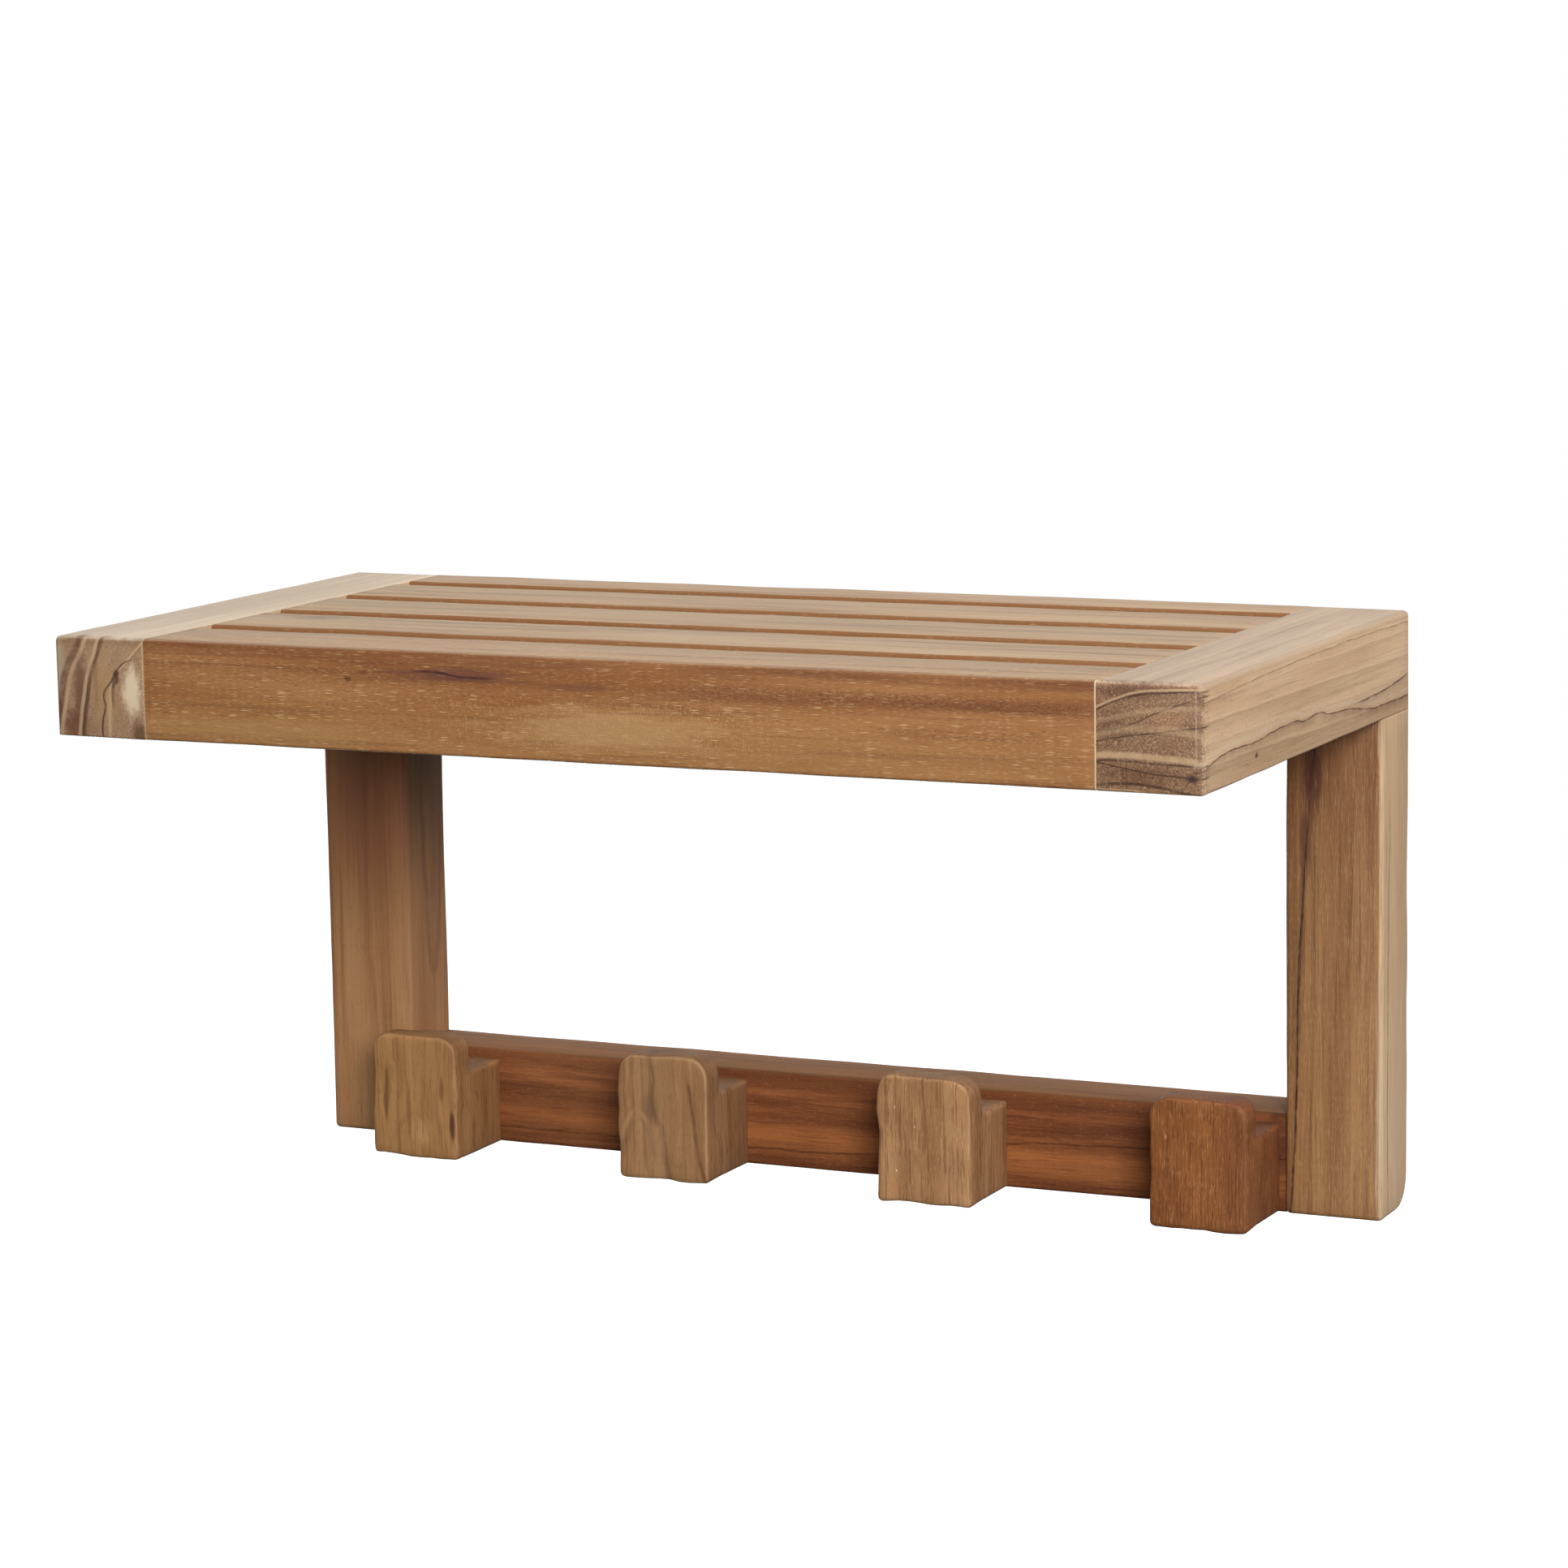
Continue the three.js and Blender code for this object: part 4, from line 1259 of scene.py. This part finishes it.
def turned(name, tip, steps):
    """A round bar drawn out along Y from its tip in steps, each a length and the radius it ends at."""
    start = Vector(tip)
    length, radius = steps[0]
    end = start + Vector((0, length, 0))
    piece = rod(name, start, end, TIP_RADIUS, SCREW_SIDES, radius)
    with Editing(piece, "FACE") as editing:
        editing.choose(lambda face: face.normal.y > 0.99)
        for length, wide in steps[1:]:
            end = end + Vector((0, length, 0))
            bpy.ops.mesh.extrude_region_move(TRANSFORM_OT_translate={"value": (0, length * MM, 0)})
            bpy.ops.transform.resize(value=(wide / radius, 1, wide / radius), center_override=end * MM)
            radius = wide
    return piece


def screw(node, thread, radius, head, socket):
    """A wood screw: a tip, a threaded part, a plain shank, then its head's steps and a hexagon socket."""
    low, high = millimetres(node)
    centre = (low + high) / 2
    root = radius - THREAD_DEPTH
    ring = [(THREAD_PITCH * 0.3, radius), (THREAD_PITCH * 0.2, radius), (THREAD_PITCH * 0.5, root)]
    rings = round(thread / THREAD_PITCH)
    head_length = sum(length for length, wide in head)
    shank = high.y - low.y - TIP_LENGTH - rings * THREAD_PITCH - head_length
    steps = [(TIP_LENGTH, root)] + ring * rings + [(THREAD_END, radius), (shank - THREAD_END, radius)]
    piece = turned(f"{node}_steel", (centre.x, low.y, centre.z), steps + head)
    width, depth = socket
    start = (centre.x, high.y - depth, centre.z)
    cut(piece, [rod("cutter", start, (centre.x, high.y + OVERSHOOT, centre.z), width, 6)])
    head_start = high.y - head_length

    def width_at(point, edge):
        return HEAD_EDGE if point.y > head_start + 0.1 else 0.0

    return round_edges(piece, width_at, 2)


def hanger_plate(node):
    """A plate with round corners, a keyhole and two countersunk holes."""
    low, high = millimetres(node)
    centre = (low + high) / 2
    front, back = low.y - OVERSHOOT / 2, high.y + OVERSHOOT / 2
    piece = block(f"{node}_steel", low, high)
    with Editing(piece, "EDGE") as editing:
        editing.choose(runs_deep)
        bpy.ops.mesh.bevel(offset=PLATE_CORNER * MM, segments=6, affect="EDGES")
    hole = centre.z - KEYHOLE_DROP
    slot_end = hole + SLOT_LENGTH
    cutters = [
        rod("cutter", (centre.x, front, hole), (centre.x, back, hole), KEYHOLE_RADIUS, BORE_SIDES),
        block("cutter", (centre.x - SLOT_RADIUS, front, hole), (centre.x + SLOT_RADIUS, back, slot_end)),
        rod("cutter", (centre.x, front, slot_end), (centre.x, back, slot_end), SLOT_RADIUS),
    ]
    for place in ("upper", "lower"):
        screw_low, screw_high = millimetres(f"left_hanger_screw_{place}")
        height = (screw_low.z + screw_high.z) / 2
        start, end = (centre.x, front, height), (centre.x, back, height)
        wide = (screw_high.z - screw_low.z) / 2 + HEAD_ROOM
        cutters.append(rod("cutter", start, end, wide / 2, tip=wide))
    cut(piece, cutters)
    return round_edges(piece, lambda point, edge: PLATE_EDGE, 2)


def hardware(model, first, others):
    """Presents a modelled piece of steel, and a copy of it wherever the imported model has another."""
    home = millimetres(first)[0]
    copies = [(copy_of(model, f"{node}_steel", millimetres(node)[0] - home), node) for node in others]
    for piece, node in [(model, first)] + copies:
        present(piece, node, steel_finish)


# ---------------------------------------------------------------- all the pieces

for side, sign in (("left", -1), ("right", 1)):
    side_rail(side, sign)
    upright(side, sign)
cross_rail("front_rail", "front_rail_dowel")
cross_rail("back_rail", "back_rail_dowel")
for number in range(1, 4):
    slat(number)
hook_rail()
for number in range(1, 5):
    hook(number)

steel_finish = stainless_steel()
hardware(hanger_plate("left_hanger_plate"), "left_hanger_plate", ["right_hanger_plate"])
hardware(
    screw("left_hanger_screw_upper", thread=9, radius=1.75, head=[(1.75, 3.5)], socket=(1.5, 1.2)),
    "left_hanger_screw_upper",
    ["left_hanger_screw_lower", "right_hanger_screw_upper", "right_hanger_screw_lower"],
)
PAN_HEAD = [(0.1, 4.25), (1.4, 4.25), (1.0, 3.4), (0.5, 2.2)]
hardware(
    screw("hook_screw_1", thread=27, radius=HOOK_SCREW_RADIUS, head=PAN_HEAD, socket=(1.7, 1.8)),
    "hook_screw_1",
    [f"hook_screw_{number}" for number in range(2, 9)],
)

# The dowels, hidden in their holes, stay as packed and only get their wood
dowel_finish = dowel_wood()
for name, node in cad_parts.items():
    if "dowel" in name:
        for slot in node.material_slots:
            slot.material = dowel_finish


# ---------------------------------------------------------------- floor, light and camera

FLOOR_DROP = 1.1
FLOOR_SIZE = 14
FLOOR_GLOW = 0.6

# The camera's lens in millimetres, its place in metres, and its angles in degrees
LENS = 111.25
CAMERA_PLACE = (0.8687, -1.9453, 0.2612)
CAMERA_TURN = 24.976
CAMERA_TILT = 90 - 8.716
CAMERA_ROLL = -0.909


def studio_floor():
    """A plain pale floor well below the shelf."""
    fresh()
    bpy.ops.mesh.primitive_plane_add(size=FLOOR_SIZE, location=(0, 0, cad_box[0][2] - FLOOR_DROP))
    floor = bpy.context.active_object
    floor.name = "studio_floor"
    finish = Finish("pale_floor")
    place = finish.node("ShaderNodeTexCoord", {}, {}, "Object")
    cloud = finish.noise(finish.stretched(place, (0.8, 0.8, 0.8), (0, 0, 0)))
    colour = finish.mix(cloud, paint(246, 246, 246), paint(250, 250, 250))
    floor.data.materials.append(finish.join(colour, 0.9, None, glow=FLOOR_GLOW))
    floor.visible_diffuse = False
    floor.visible_glossy = False


def softbox(name, place, target, size, power):
    """A large square light that faces a point."""
    data = bpy.data.lights.new(name, "AREA")
    data.shape = "SQUARE"
    data.size = size
    data.energy = power
    lamp = bpy.data.objects.new(name, data)
    bpy.context.scene.collection.objects.link(lamp)
    direction = Vector(target) - Vector(place)
    lamp.location = place
    lamp.rotation_euler = direction.to_track_quat("-Z", "Y").to_euler()


def studio_light():
    """A white room, bright above, behind and to the right, and three large lights."""
    world = bpy.data.worlds.new("studio")
    world.use_nodes = True
    room = Nodes(world.node_tree)
    direction = room.node("ShaderNodeTexCoord", {}, {}, "Generated")
    right, back, up = room.split(direction)
    above = room.rise(up, -0.05, 0.7)
    light = 0.05 + above * 0.6
    light = light + room.rise(right, 0.1, 1.0) * room.rise(up, 0.2, 0.7) * 0.8
    behind = room.rise(back, -0.1, 0.6) * (1 - room.rise(right, -0.1, 0.5))
    mirrored = 0.14 + behind * room.rise(up, -0.1, 0.1) * 0.72
    rays = room.node("ShaderNodeLightPath", {}, {}, "Is Camera Ray")
    soft = rays.out("Is Diffuse Ray")
    strength = (light * soft + mirrored * (1 - soft)) * (1 - rays) + rays
    glow = room.node("ShaderNodeBackground", {}, {"Color": (1, 1, 1, 1), "Strength": strength})
    room.node("ShaderNodeOutputWorld", {}, {"Surface": glow})
    bpy.context.scene.world = world
    softbox("front_right", (1.53, -2.44, 0.83), (0, -0.1, -0.1), 0.95, 69)
    softbox("overhead_right", (2.2, 0.1, 1.9), (0, -0.1, 0), 1.2, 22)
    softbox("low_behind", (-1.5, 1.9, -0.9), (0, -0.1, -0.1), 1.2, 38)
    bpy.context.scene.view_settings.view_transform = "Standard"


def camera():
    """A long lens to the right of the shelf and a little above it."""
    data = bpy.data.cameras.new("camera")
    data.sensor_width = 36
    data.lens = LENS
    data.clip_end = 60
    eye = bpy.data.objects.new("camera", data)
    bpy.context.scene.collection.objects.link(eye)
    turn = Matrix.Rotation(math.radians(CAMERA_TURN), 4, "Z")
    tilt = Matrix.Rotation(math.radians(CAMERA_TILT), 4, "X")
    roll = Matrix.Rotation(math.radians(CAMERA_ROLL), 4, "Z")
    eye.matrix_world = Matrix.Translation(CAMERA_PLACE) @ turn @ tilt @ roll
    bpy.context.scene.camera = eye


studio_floor()
studio_light()
camera()
